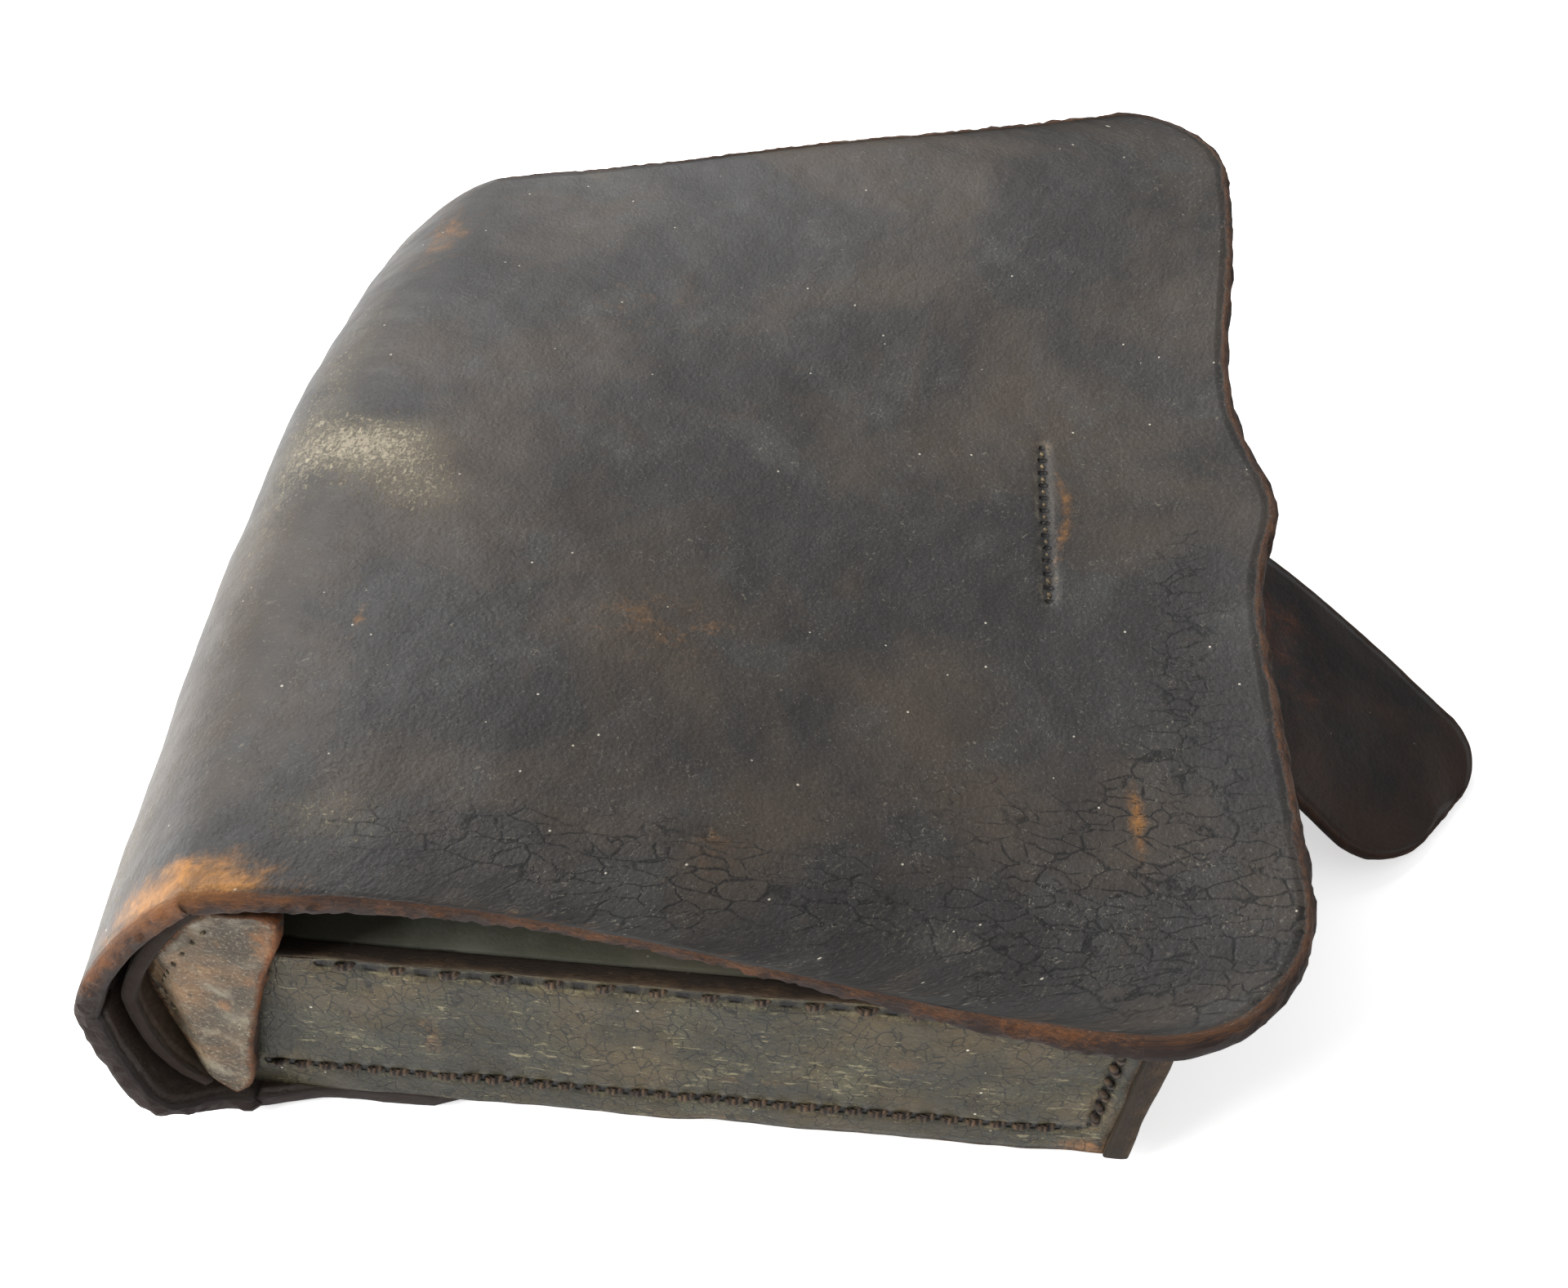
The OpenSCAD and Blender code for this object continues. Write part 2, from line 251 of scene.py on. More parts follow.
# %% [markdown]
# ## Cutting a sheet
# Every piece of the case is a sheet of hide: a smooth face, a rough underside, and a thick cut
# edge where the knife went through. We make exactly that from two grids of points, one for the
# face and one for the underside. First we walk round the border of the grid, and measure how
# far each point is from the nearest cut.

# %%
ALL_SIDES = ("near", "end", "far", "start")
FAR_AWAY = 99.0


def edge_distances(points, cut_sides):
    """Distance of each point from the nearest cut side, measured along the hide."""
    down = np.linalg.norm(np.diff(points, axis=0), axis=-1)
    across = np.linalg.norm(np.diff(points, axis=1), axis=-1)
    from_start = np.vstack([np.zeros(points.shape[1]), np.cumsum(down, axis=0)])
    from_near = np.hstack([np.zeros((points.shape[0], 1)), np.cumsum(across, axis=1)])
    sides = {
        "start": from_start,
        "end": from_start[-1] - from_start,
        "near": from_near,
        "far": from_near[:, -1:] - from_near,
    }
    nearest = np.full(points.shape[:2], FAR_AWAY)
    for side in cut_sides:
        nearest = np.minimum(nearest, sides[side])
    return nearest, from_start, from_near


def sheet_border(rows, cols, cut_sides):
    """The points round a sheet in order, and which of the steps between them were cut."""
    index = np.arange(rows * cols).reshape(rows, cols)
    loop = [(i, 0, "near") for i in range(rows - 1)]
    loop += [(rows - 1, j, "end") for j in range(cols - 1)]
    loop += [(i, cols - 1, "far") for i in range(rows - 1, 0, -1)]
    loop += [(0, j, "start") for j in range(cols - 1, 0, -1)]
    at = np.array([index[i, j] for i, j, _ in loop])
    return at, np.array([side in cut_sides for _, _, side in loop])


print("points round a sheet of 4 by 3:", sheet_border(4, 3, ALL_SIDES)[0])

# %% [markdown]
# The cut edge is rounded, because edges wear, and a little ragged. It is made of a few rings of
# points between the face and the underside. Each ring stands out by its place on a half circle,
# plus two sizes of ripple.

# %%
RIM_STEPS = 5


def rim_rings(face, under, flat, at, is_cut, bulge, ragged, seed):
    border, below = face.reshape(-1, 3)[at], under.reshape(-1, 3)[at]
    ahead, behind = np.roll(border, -1, axis=0), np.roll(border, 1, axis=0)
    ahead[~is_cut] = border[~is_cut]
    behind[~np.roll(is_cut, 1)] = border[~np.roll(is_cut, 1)]
    lift = unit(border - below)
    outwards = unit(np.cross(unit(ahead - behind), lift))
    if np.sum((border - face.mean(axis=(0, 1))) * outwards) < 0:
        outwards = -outwards
    thick = np.linalg.norm(border - below, axis=1)[:, None]
    u, v = flat.reshape(-1, 2)[at].T
    rings = []
    for k in range(1, RIM_STEPS + 1):
        angle = math.pi * k / (RIM_STEPS + 1)
        rough = ripple(u, v + k * 1.3, 5, seed + 1) + 0.7 * ripple(u, v + k * 2.1, 1.7, seed + 2)
        out = bulge * math.sin(angle) ** 0.7 + ragged * rough * math.sin(angle)
        rings.append((border + below) / 2 + lift * thick / 2 * math.cos(angle) + outwards * out[:, None])
    return rings


def sheet_faces(face, under, at, is_cut):
    """Four-sided faces over the face, the underside and the cut edge, all turned outwards."""
    rows, cols = face.shape[:2]
    count, around = rows * cols, len(at)
    index = np.arange(count).reshape(rows, cols)
    top = np.stack([index[:-1, :-1], index[1:, :-1], index[1:, 1:], index[:-1, 1:]], -1).reshape(-1, 4)
    rings = [2 * count + k * around + np.arange(around) for k in range(RIM_STEPS)]
    rings = [at, *rings, at + count]
    here = np.flatnonzero(is_cut)
    there = (here + 1) % around
    rim = [np.stack([a[there], a[here], b[here], b[there]], -1) for a, b in zip(rings[:-1], rings[1:])]
    quads = np.vstack([top, top[:, ::-1] + count, *rim])
    turn = np.cross(face[1, 0] - face[0, 0], face[0, 1] - face[0, 0]) @ (face[0, 0] - under[0, 0])
    return quads[:, ::-1] if turn < 0 else quads


print("a rim has", RIM_STEPS, "rings of points between face and underside")

# %% [markdown]
# `cut_sheet` puts these together and writes four notes on every point. `flat` is the place on
# the hide before it was bent, `cut` tells the distance to the nearest cut edge and the side of
# the hide, `wear` holds how scuffed, how bare and how cracked it is there, and `seam` is the
# place along a line of stitching.

# %%
NO_SEAM = (0, 50, 0)


def cut_sheet(name, face, under, finish, cut_sides=ALL_SIDES, bulge=0.8, ragged=0.12,
              flat=None, wear=None, seam=None, seed=1):
    rows, cols = face.shape[:2]
    distance, from_start, from_near = edge_distances(face, cut_sides)
    if flat is None:
        flat = np.dstack([from_start, from_near - from_near[:, -1:] / 2])
    if wear is None:
        wear = np.zeros((rows, cols, 3))
    if seam is None:
        seam = np.zeros((rows, cols, 3)) + NO_SEAM
    at, is_cut = sheet_border(rows, cols, cut_sides)
    rims = rim_rings(face, under, flat, at, is_cut, bulge, ragged, seed)
    points = np.vstack([face.reshape(-1, 3), under.reshape(-1, 3), *rims])
    quads = sheet_faces(face, under, at, is_cut)
    used = np.zeros(len(points), bool)
    used[quads.ravel()] = True
    renumber = np.cumsum(used) - 1

    def note(on_face, on_under, on_rim):
        return np.vstack([on_face.reshape(-1, 3), on_under.reshape(-1, 3), *on_rim])[used]

    def three(a, b, c):
        return np.dstack([np.broadcast_to(x, (rows, cols)) for x in (a, b, c)])

    around = len(at)
    place = flat * MM + [0.7 * seed, 0]
    u, v = place[..., 0], place[..., 1]
    round_edge = [math.sin(math.pi * (k + 1) / (RIM_STEPS + 1)) for k in range(RIM_STEPS)]
    edge_place = place.reshape(-1, 2)[at]
    edge_flat = [np.column_stack([edge_place, np.full(around, MM * (k + 1))]) for k in range(RIM_STEPS)]
    edge_cut = [np.tile([0, min(1, 1.6 * s), (k + 0.5) / RIM_STEPS], (around, 1))
                for k, s in enumerate(round_edge)]
    notes = {
        "flat": note(three(u, v, 0), three(u, v, 0.05), edge_flat),
        "cut": note(three(distance, 0, 0), three(distance, 0, 1), edge_cut),
        "wear": note(wear, wear * 0, [wear.reshape(-1, 3)[at]] * RIM_STEPS),
        "seam": note(seam, seam * [1, 0, 0] + NO_SEAM, [np.tile(NO_SEAM, (around, 1))] * RIM_STEPS),
    }
    return make_piece(name, points[used], renumber[quads].tolist(), finish, notes)


print("sides of a sheet:", *ALL_SIDES)

# %% [markdown]
# ## Seams and stitches
# The case is sewn by hand with an awl and two needles. Each stitch is a short length of waxed
# thread that comes out of one hole and dives into the next, leaning a little. We make each one
# as a bent tube, a bit different from its neighbours. `seam_notes` marks the line on the hide, so
# that the finish can sink a groove there and darken the awl holes.


# %%
def seam_notes(u, v, lines):
    """For each point: the place along its nearest seam in stitches, and the distance from it."""
    along = np.zeros(u.shape)
    away = np.full(u.shape, float(NO_SEAM[1]))
    for (u0, v0), (u1, v1), pitch in lines:
        length = math.hypot(u1 - u0, v1 - v0)
        du, dv = (u1 - u0) / length, (v1 - v0) / length
        s = (u - u0) * du + (v - v0) * dv
        beyond = np.maximum(0, np.maximum(-s, s - length))
        d = np.hypot((v - v0) * du - (u - u0) * dv, beyond)
        near = d < np.abs(away)
        along = np.where(near, s / pitch, along)
        away = np.where(near, d, away)
    return np.dstack([along, away, np.exp(-((away / 1.1) ** 2))])


def seam_spots(lines):
    spots = []
    for (u0, v0), (u1, v1), pitch in lines:
        length = math.hypot(u1 - u0, v1 - v0)
        for k in range(int(length / pitch)):
            s = (k + 0.5) * pitch / length
            spots.append((lerp(u0, u1, s), lerp(v0, v1, s), math.atan2(v1 - v0, u1 - u0)))
    return spots


def sew(name, spots, along, out, finish, length=3.0, radius=0.42, slant=14, rise=0.35, seed=3):
    """One mesh of stitches: spots, thread directions and outward directions, all in mm."""
    rng = np.random.default_rng(seed)
    spots, along, out = (np.array(a, float).reshape(-1, 3) for a in (spots, along, out))
    side = unit(np.cross(out, along))
    lean = np.radians(slant + rng.normal(0, 5, len(spots)))[:, None]
    along, side = along * np.cos(lean) + side * np.sin(lean), side * np.cos(lean) - along * np.sin(lean)
    size = rng.uniform(0.86, 1.08, (len(spots), 1))
    steps, turns = np.linspace(-1, 1, 9), np.linspace(0, 2 * math.pi, 9)[:-1]
    points, notes = [], []
    for s in steps:
        height = rise * (1 - s * s) * 1.6 - 0.55 * abs(s) ** 3
        for a in turns:
            r = radius * (1 - 0.3 * s**4) * size
            middle = spots + along * s * length / 2 * size
            points.append(middle + out * (height + r * math.sin(a)) + side * r * math.cos(a))
            notes.append([(s * length / 2, a, number) for number in range(len(spots))])
    points = np.stack(points, 1).reshape(-1, 3)
    notes = np.stack(notes, 1).reshape(-1, 3)
    ring, per = len(turns), len(steps) * len(turns)
    faces = []
    for first in range(0, len(spots) * per, per):
        for i in range(len(steps) - 1):
            for j in range(ring):
                a, b = first + i * ring + j, first + i * ring + (j + 1) % ring
                faces.append((a, b, b + ring, a + ring))
        faces.append([first + j for j in range(ring)][::-1])
        faces.append([first + per - ring + j for j in range(ring)])
    return make_piece(name, points, faces, finish, {"twist": notes})


print("stitches in 100 mm of seam:", len(seam_spots([((0, 0), (100, 0), 3.6)])))

# %% [markdown]
# ## Mixing a finish
# A leather finish is many thin layers: dye, the brown that shows where dye has worn off, dust in
# the grain, cracks, and the raw fibre of the cut edge. Each layer is a few shader nodes, so we
# first make short helpers for the nodes we use again and again.


# %%
class Finish:
    """A material being mixed, layer by layer."""

    def __init__(self, name):
        self.material = bpy.data.materials.new(name)
        self.material.use_nodes = True
        self.tree = self.material.node_tree
        self.tree.nodes.clear()

    def put(self, kind, settings=None, inputs=None, output=0):
        node = self.tree.nodes.new(kind)
        for key, value in (settings or {}).items():
            setattr(node, key, value)
        for key, value in (inputs or {}).items():
            if isinstance(value, bpy.types.NodeSocket):
                self.tree.links.new(value, node.inputs[key])
            else:
                node.inputs[key].default_value = value
        return node.outputs[output]

    def note(self, label):
        vector = self.put("ShaderNodeAttribute", {"attribute_name": label}, output=1)
        node = self.tree.nodes.new("ShaderNodeSeparateXYZ")
        self.tree.links.new(vector, node.inputs[0])
        return vector, node.outputs[0], node.outputs[1], node.outputs[2]

    def math(self, what, a, b=0.0):
        return self.put("ShaderNodeMath", {"operation": what}, {0: a, 1: b})

    def stretch(self, place, by):
        return self.put("ShaderNodeVectorMath", {"operation": "MULTIPLY"}, {0: place, 1: by})

    def move(self, place, by):
        return self.put("ShaderNodeVectorMath", {"operation": "ADD"}, {0: place, 1: by})

    def clouds(self, place, size_mm, detail=3.0, rough=0.55, bend=0.0):
        scale = 1000 / size_mm
        return self.put("ShaderNodeTexNoise", None, {
            "Vector": place, "Scale": scale, "Detail": detail, "Roughness": rough, "Distortion": bend})

    def sway(self, place, size_mm, amount_mm):
        """The same place pushed about a little, so that lines drawn there wander."""
        push = {"Vector": place, "Scale": 1000 / size_mm, "Detail": 2.0}
        push = self.put("ShaderNodeTexNoise", None, push, output=1)
        centred = self.move(push, (-0.5, -0.5, -0.5))
        small = self.stretch(centred, (amount_mm * MM * 2,) * 3)
        return self.move(place, small)

    def cracks(self, place, size_mm, width):
        cells = {"Vector": place, "Scale": 1000 / size_mm}
        gap = self.put("ShaderNodeTexVoronoi", {"feature": "DISTANCE_TO_EDGE"}, cells)
        return self.step(gap, width, 0.0)

    def step(self, value, low, high):
        """0 below low and 1 above high, or the other way round if low is the larger."""
        ends = {0: value, 1: low, 2: high, 3: 0.0, 4: 1.0}
        return self.put("ShaderNodeMapRange", {"interpolation_type": "SMOOTHSTEP"}, ends)

    def scale(self, value, low, high):
        return self.put("ShaderNodeMapRange", None, {0: value, 1: 0.0, 2: 1.0, 3: low, 4: high})

    def layer(self, share, under, over):
        ends = [c if isinstance(c, bpy.types.NodeSocket) else (*c, 1.0) for c in (under, over)]
        return self.put("ShaderNodeMix", {"data_type": "RGBA"}, {0: share, 6: ends[0], 7: ends[1]}, output=2)

    def add(self, *values):
        total = values[0]
        for value in values[1:]:
            total = self.math("ADD", total, value)
        return total

    def times(self, *values):
        total = values[0]
        for value in values[1:]:
            total = self.math("MULTIPLY", total, value)
        return total

    def done(self, colour, roughness, height, depth_mm, specular=0.5, sheen=0.0):
        relief = {"Strength": 1.0, "Distance": depth_mm * MM, "Height": height}
        bump = self.put("ShaderNodeBump", None, relief)
        shader = self.tree.nodes.new("ShaderNodeBsdfPrincipled")
        self.tree.links.new(colour, shader.inputs["Base Color"])
        self.tree.links.new(roughness, shader.inputs["Roughness"])
        self.tree.links.new(bump, shader.inputs["Normal"])
        shader.inputs["Specular IOR Level"].default_value = specular
        shader.inputs["Sheen Weight"].default_value = sheen
        last = self.tree.nodes.new("ShaderNodeOutputMaterial")
        self.tree.links.new(shader.outputs[0], last.inputs[0])
        return self.material


print("finish helpers ready")

# %% [markdown]
# ## The layers of a leather finish
# All hides share one recipe, with different dyes and amounts of wear. Its layers are placed by
# the same few noises, from patches as wide as a hand down to the grit in the grain. `Hide` makes
# these once, and reads the notes that `cut_sheet` left on the points.

# %%
class Hide(Finish):
    def __init__(self, name, patch):
        super().__init__(name)
        self.flat = self.note("flat")[0]
        self.distance, self.on_rim, self.side = self.note("cut")[1:]
        self.scuffed, self.rubbed, self.cracked = self.note("wear")[1:]
        self.stitch, self.away, self.in_seam = self.note("seam")[1:]
        self.patches = self.clouds(self.flat, 42 * patch, 4, 0.6, 0.4)
        self.cloudy = self.clouds(self.further(3.1), 18 * patch, 4, 0.6, 0.3)
        self.mottle = self.clouds(self.further(5.7), 4.5, 4, 0.65)
        self.fine = self.clouds(self.flat, 0.9, 3, 0.6)
        self.streaks = self.clouds(self.stretch(self.flat, (1, 1.3, 1)), 4, 5, 0.75, 0.6)
        self.grit = self.clouds(self.further(8.8), 0.6, 4, 0.75)
        self.fibre = self.clouds(self.stretch(self.flat, (1, 1, 4)), 1.6, 6, 0.8, 0.8)

    def further(self, metres):
        """The place moved far along the hide, so that the noise there is a different one."""
        return self.move(self.flat, (metres, 0, 0))


def shade(share, colour):
    """The same colour, darker below 1 and lighter above it."""
    return tuple(min(1, share * c) for c in colour)


print("a hide's colour at half strength:", shade(0.5, (0.2, 0.1, 0.05)))

# %% [markdown]
# The dye is patches of black, brown and slate. Where hands rubbed, it is gone and the tan hide shows. Where
# the case was scraped, the grain is broken into pale lines with a haze round them; on the cover's fold this
# pale haze is also a painted highlight for the fold's sheen.

# %%
def dye(f, black, brown, slate, mottled):
    colour = f.layer(f.step(f.patches, 0.42, 0.66), black, brown)
    colour = f.layer(f.times(f.step(f.cloudy, 0.5, 0.72), 0.75), colour, slate)
    colour = f.layer(f.times(f.step(f.mottle, 0.5, 0.8), 0.35), colour, brown)
    colour = f.layer(f.times(f.step(f.grit, 0.5, 0.72), mottled), colour, shade(1.9, slate))
    return f.layer(f.times(f.step(f.fine, 0.44, 0.3), mottled, 1.4), colour, shade(0.4, black))


def rub(f, colour, bare):
    unsteady = f.add(f.scale(f.mottle, -0.45, 0.35), f.scale(f.streaks, -0.25, 0.25),
                     f.scale(f.grit, -0.2, 0.2))
    tan = f.layer(f.step(f.streaks, 0.35, 0.7), shade(0.45, bare), bare)
    return f.layer(f.step(f.add(f.rubbed, unsteady), 0.12, 0.8), colour, tan)


def scuff(f, colour, pale):
    # Pale haze on scuffed places. On the cover's fold it is also painted sheen.
    scuff_haze_and_sheen = f.times(f.step(f.add(f.scuffed, f.scale(f.cloudy, -0.5, 0.4)), 0.1, 0.9), 0.45)
    colour = f.layer(scuff_haze_and_sheen, colour, shade(0.62, pale))
    lines = f.clouds(f.stretch(f.flat, (1.9, 1, 1)), 1.7, 6, 0.8, 1.0)
    broken = f.add(f.times(f.scuffed, 0.8), f.scale(lines, -1.3, 0.7), f.scale(f.grit, -0.5, 0.5))
    share = f.times(f.step(broken, 0.02, 0.4), 0.85)
    return f.layer(share, colour, pale), share, lines


print("dye, rubbed and scuffed layers ready")

# %% [markdown]
# Old leather cracks where it was bent: a wide net of cracks, with a finer one between them. Both
# are made of the borders between random cells. Pushing the cells about makes the lines wander.

# %%
def crack(f, colour, black, crackle, stretch):
    wander = f.stretch(f.sway(f.sway(f.flat, 9, 2.2), 1.6, 0.35), stretch)
    presence = f.step(f.clouds(f.further(6.1), 5, 4, 0.65), 0.4, 0.5)
    dry = f.add(f.times(f.cracked, 1.1), f.scale(f.cloudy, -0.7, crackle), f.scale(f.mottle, -0.4, 0.3))
    wide = f.times(f.cracks(wander, 2.9, 0.075), presence)
    thin = f.cracks(f.move(wander, (1.3, 0, 0)), 1.4, 0.085)
    thin = f.times(thin, f.step(presence, 0.3, 0.0), 0.8)
    share = f.times(f.math("MAXIMUM", wide, thin), f.step(dry, 0.05, 0.4))
    return f.layer(f.times(share, 0.92), colour, shade(0.15, black)), share


print("crack layer ready")

# %% [markdown]
# Dust settles in the grain, lint catches on it, and a few white specks lie on top. Each speck is
# the middle of a random cell, and only the cells with the highest random number get one. Some
# hides also have short pale flecks, all in one direction, where the grain has split.

# %%
SPECK_CELL = 3.6


def soil(f, colour, pale, dust, dusty, flecks):
    lint = f.step(f.clouds(f.further(11.4), 1.0, 2, 0.5, 2.2), 0.635, 0.7)
    lint = f.times(lint, f.step(f.cloudy, 0.3, 0.7))
    settled = f.times(f.step(f.grit, 0.55, 0.75), f.step(f.mottle, 0.35, 0.7), 0.6)
    colour = f.layer(f.times(f.math("MAXIMUM", lint, settled), dust), colour, dusty)
    fleck = f.clouds(f.stretch(f.further(13.1), (0.42, 1.7, 1)), 1.5, 3, 0.6, 0.4)
    fleck = f.add(fleck, f.scale(f.cloudy, -0.2, 0.08), f.scale(f.grit, -0.1, 0.1), f.times(f.scuffed, 0.2))
    colour = f.layer(f.times(f.step(fleck, 0.58, 0.7), flecks), colour, pale)
    cells = {"Vector": f.further(2.2), "Scale": 1000 / SPECK_CELL}
    middle = f.put("ShaderNodeTexVoronoi", None, cells, output="Distance")
    random_colour = f.put("ShaderNodeTexVoronoi", None, cells, output="Color")
    number = f.put("ShaderNodeSeparateColor", None, {0: random_colour})
    speck = f.times(f.step(middle, 0.075, 0.04), f.step(number, 0.7, 0.76))
    return f.layer(f.times(speck, dust * 1.5), colour, (0.5, 0.46, 0.38)), lint


print("dust and speck layer ready")

# %% [markdown]
# Along a seam the thread has pulled a dark groove into the hide, with an awl hole between each
# two stitches and a dusty lip beside it. The cut edge shows raw fibre: orange-brown where it is
# rubbed, almost black where the old edge dye has lasted. The underside is brown nap.

# %%
def sew_marks(f, colour, pale, black, seam_dust):
    hole = f.times(f.step(f.math("PINGPONG", f.stitch, 0.5), 0.2, 0.06), f.step(f.away, 0.95, 0.5))
    lip = f.step(f.add(f.mottle, f.scale(f.grit, -0.4, 0.4)), 0.42, 0.7)
    colour = f.layer(f.times(f.step(f.away, 2.2, 1.0), lip, seam_dust), colour, shade(0.8, pale))
    colour = f.layer(f.times(f.step(f.in_seam, 0.25, 0.8), 0.75), colour, shade(0.4, black))
    return f.layer(f.times(hole, 0.95), colour, (0.004, 0.003, 0.003)), hole


def raw_edge(f, colour, brown, edge, edge_dark):
    patches = f.clouds(f.further(7.7), 9, 4, 0.65)
    worn_off = f.add(f.times(f.fibre, 0.8), f.times(patches, 0.7), f.times(f.rubbed, 0.22),
                     f.times(f.side, -0.3))
    bared = f.step(worn_off, 0.58, 0.95)
    raw = f.layer(bared, edge_dark, edge)
    raw = f.layer(f.times(f.step(f.grit, 0.6, 0.8), bared, 0.7), raw, shade(1.9, edge))
    uneven = f.add(f.distance, f.scale(patches, -1.2, 1.8), f.scale(f.grit, -0.6, 0.6))
    share = f.times(f.math("MAXIMUM", f.on_rim, f.times(f.step(uneven, 1.0, 0.1), 0.8)), 0.96)
    colour = f.layer(share, colour, raw)
    nap = f.step(f.add(f.times(f.fibre, 0.7), f.times(f.cloudy, 0.3)), 0.3, 0.7)
    underside = f.layer(nap, shade(0.9, edge_dark), shade(1.15, brown))
    return f.layer(f.step(f.side, 0.9, 0.99), colour, underside), share


print("seam and edge layers ready")

# %% [markdown]
# ## The finishes
# `leather` lays these over one another, from the dye up, and then says how rough the surface is
# and how high each detail stands. Below it are this case's own hides and threads.

# %%
def leather(name, black, brown, slate, bare, pale, edge, edge_dark, crackle=0.25, dust=0.35, grain=1.0,
            dusty=(0.2, 0.18, 0.14), shine=0.5, stretch=(0.4, 1, 1), specular=0.34, flecks=0.0,
            seam_dust=0.25, mottled=0.3, patch=1.0):
    f = Hide(name, patch)
    colour = dye(f, black, brown, slate, mottled)
    colour = rub(f, colour, bare)
    colour, pale_share, scuff_lines = scuff(f, colour, pale)
    colour, crack_share = crack(f, colour, black, crackle, stretch)
    colour, lint = soil(f, colour, pale, dust, dusty, flecks)
    colour, hole = sew_marks(f, colour, pale, black, seam_dust)
    colour, raw_share = raw_edge(f, colour, brown, edge, edge_dark)
    shiny = f.scale(f.mottle, shine - 0.1, shine + 0.12)
    rough = f.add(shiny, f.times(pale_share, 0.22), f.times(raw_share, 0.3), f.times(lint, 0.2))
    pores = f.put("ShaderNodeTexVoronoi", None, {"Vector": f.sway(f.flat, 2, 0.4), "Scale": 1000 / 0.75})
    height = f.add(
        f.times(f.fine, 0.22 * grain),
        f.times(pores, 0.09 * grain),
        f.times(f.step(f.distance, 1.8, 0.0), -1.0),
        f.times(f.mottle, 0.3),
        f.times(f.clouds(f.further(4.4), 12, 3), 0.7),
        f.times(crack_share, -0.1),
        f.times(f.fibre, f.times(raw_share, 1.7)),
        f.times(hole, -1.2),
        f.times(f.in_seam, -0.5),
        f.times(scuff_lines, f.times(pale_share, 0.5)),
    )
    return f.done(colour, rough, height, 0.4, specular)

def waxed_thread(name, pale, dirt):
    f = Finish(name)
    twist, along, around, _ = f.note("twist")
    ply = f.math("SINE", f.add(f.times(along, 5.5), around))
    grime = f.clouds(f.stretch(twist, (0.001, 0.0004, 0.003)), 1.2, 3)
    colour = f.layer(f.step(grime, 0.35, 0.65), dirt, pale)
    colour = f.layer(f.step(ply, -0.3, -0.95), colour, shade(0.35, dirt))
    return f.done(colour, f.scale(grime, 0.6, 0.85), ply, 0.12, specular=0.3)


cover_finish = leather(
    "cover leather", black=(0.0155, 0.0145, 0.014), brown=(0.035, 0.0265, 0.0195),
    slate=(0.03, 0.03, 0.029), bare=(0.25, 0.108, 0.022), pale=(0.27, 0.235, 0.17),
    edge=(0.17, 0.058, 0.011), edge_dark=(0.02, 0.009, 0.006), crackle=0.1, dust=0.45,
)
wall_finish = leather(
    "box leather", black=(0.021, 0.0195, 0.0115), brown=(0.058, 0.04, 0.0165),
    slate=(0.039, 0.038, 0.022), bare=(0.24, 0.11, 0.035), pale=(0.25, 0.215, 0.12),
    edge=(0.14, 0.08, 0.04), edge_dark=(0.03, 0.02, 0.014), crackle=0.5, dust=0.7,
    dusty=(0.22, 0.19, 0.11), stretch=(1.5, 1, 1), specular=0.2, flecks=0.62, seam_dust=0.45, patch=0.6,
)
front_finish = leather(
    "front leather", black=(0.074, 0.074, 0.055), brown=(0.096, 0.09, 0.064),
    slate=(0.112, 0.115, 0.09), bare=(0.14, 0.09, 0.04), pale=(0.16, 0.14, 0.09),
    edge=(0.1, 0.06, 0.03), edge_dark=(0.03, 0.02, 0.014), crackle=0.0, dust=0.15,
    grain=0.6, specular=0.2, mottled=0.1,
)
lining_finish = leather(
    "lining leather", black=(0.026, 0.023, 0.018), brown=(0.048, 0.034, 0.022),
    slate=(0.046, 0.042, 0.034), bare=(0.2, 0.1, 0.035), pale=(0.2, 0.17, 0.12),
    edge=(0.16, 0.058, 0.014), edge_dark=(0.028, 0.015, 0.009), crackle=0.1, dust=0.3,
    shine=0.6, specular=0.24,
)
inner_finish = leather(
    "inner leather", black=(0.045, 0.034, 0.022), brown=(0.15, 0.085, 0.04),
    slate=(0.2, 0.175, 0.125), bare=(0.26, 0.105, 0.03), pale=(0.34, 0.3, 0.22),
    edge=(0.24, 0.075, 0.018), edge_dark=(0.028, 0.015, 0.009), crackle=0.35, dust=0.6,
    shine=0.6, specular=0.2, mottled=0.5, patch=0.3,
)
tab_finish = leather(
    "tab leather", black=(0.008, 0.0065, 0.006), brown=(0.028, 0.014, 0.009),
    slate=(0.013, 0.011, 0.01), bare=(0.12, 0.035, 0.014), pale=(0.1, 0.07, 0.05),
    edge=(0.09, 0.034, 0.012), edge_dark=(0.016, 0.008, 0.006), crackle=0.0, dust=0.1,
    grain=0.7, shine=0.5, specular=0.16,
)
thread_finish = waxed_thread("waxed thread", (0.2, 0.15, 0.08), (0.05, 0.035, 0.02))
dark_thread_finish = waxed_thread("dark waxed thread", (0.075, 0.045, 0.024), (0.02, 0.013, 0.009))
print("finishes:", [m.name for m in bpy.data.materials if m.name.endswith(("leather", "thread"))])

# %% [markdown]
# ## The cover
# The cover is one thick hide. It is sewn under the back, turns up round the mouth in an open
# fold, and comes down over the front as the flap. We describe its outer face with two numbers:
# `t` runs along the hide, from under the back (below 0 is the fold) to the flap's end at 1, and
# `v` runs across it, from -1 at the near edge to 1 at the far edge.


# %%
FAR_LIFT = 26.5  # mm that the flap rises along its far edge, from the fold to the corner


def power(x, p):
    return np.sign(x) * np.abs(x) ** p


def far_sag(v):
    """The hide has sagged a little at the far end of its fold."""
    return 0.7 * smooth((v - 0.5) / 0.5)


def crown(v):
    return lerp(crown_near, crown_far, (v + 1) / 2) - far_sag(v)


def between(near, middle, far, v):
    """A value that has one size at the near end, one in the middle and one at the far end."""
    return middle + (far - near) / 2 * v + ((near + far) / 2 - middle) * v * v


def fold_reach(v):
    """The fold bulges most in its middle, where no sewn end holds it back."""
    plain = crown_x - fold_left
    return between(plain - 0.5, plain + 4.7, plain + 6.2, v)


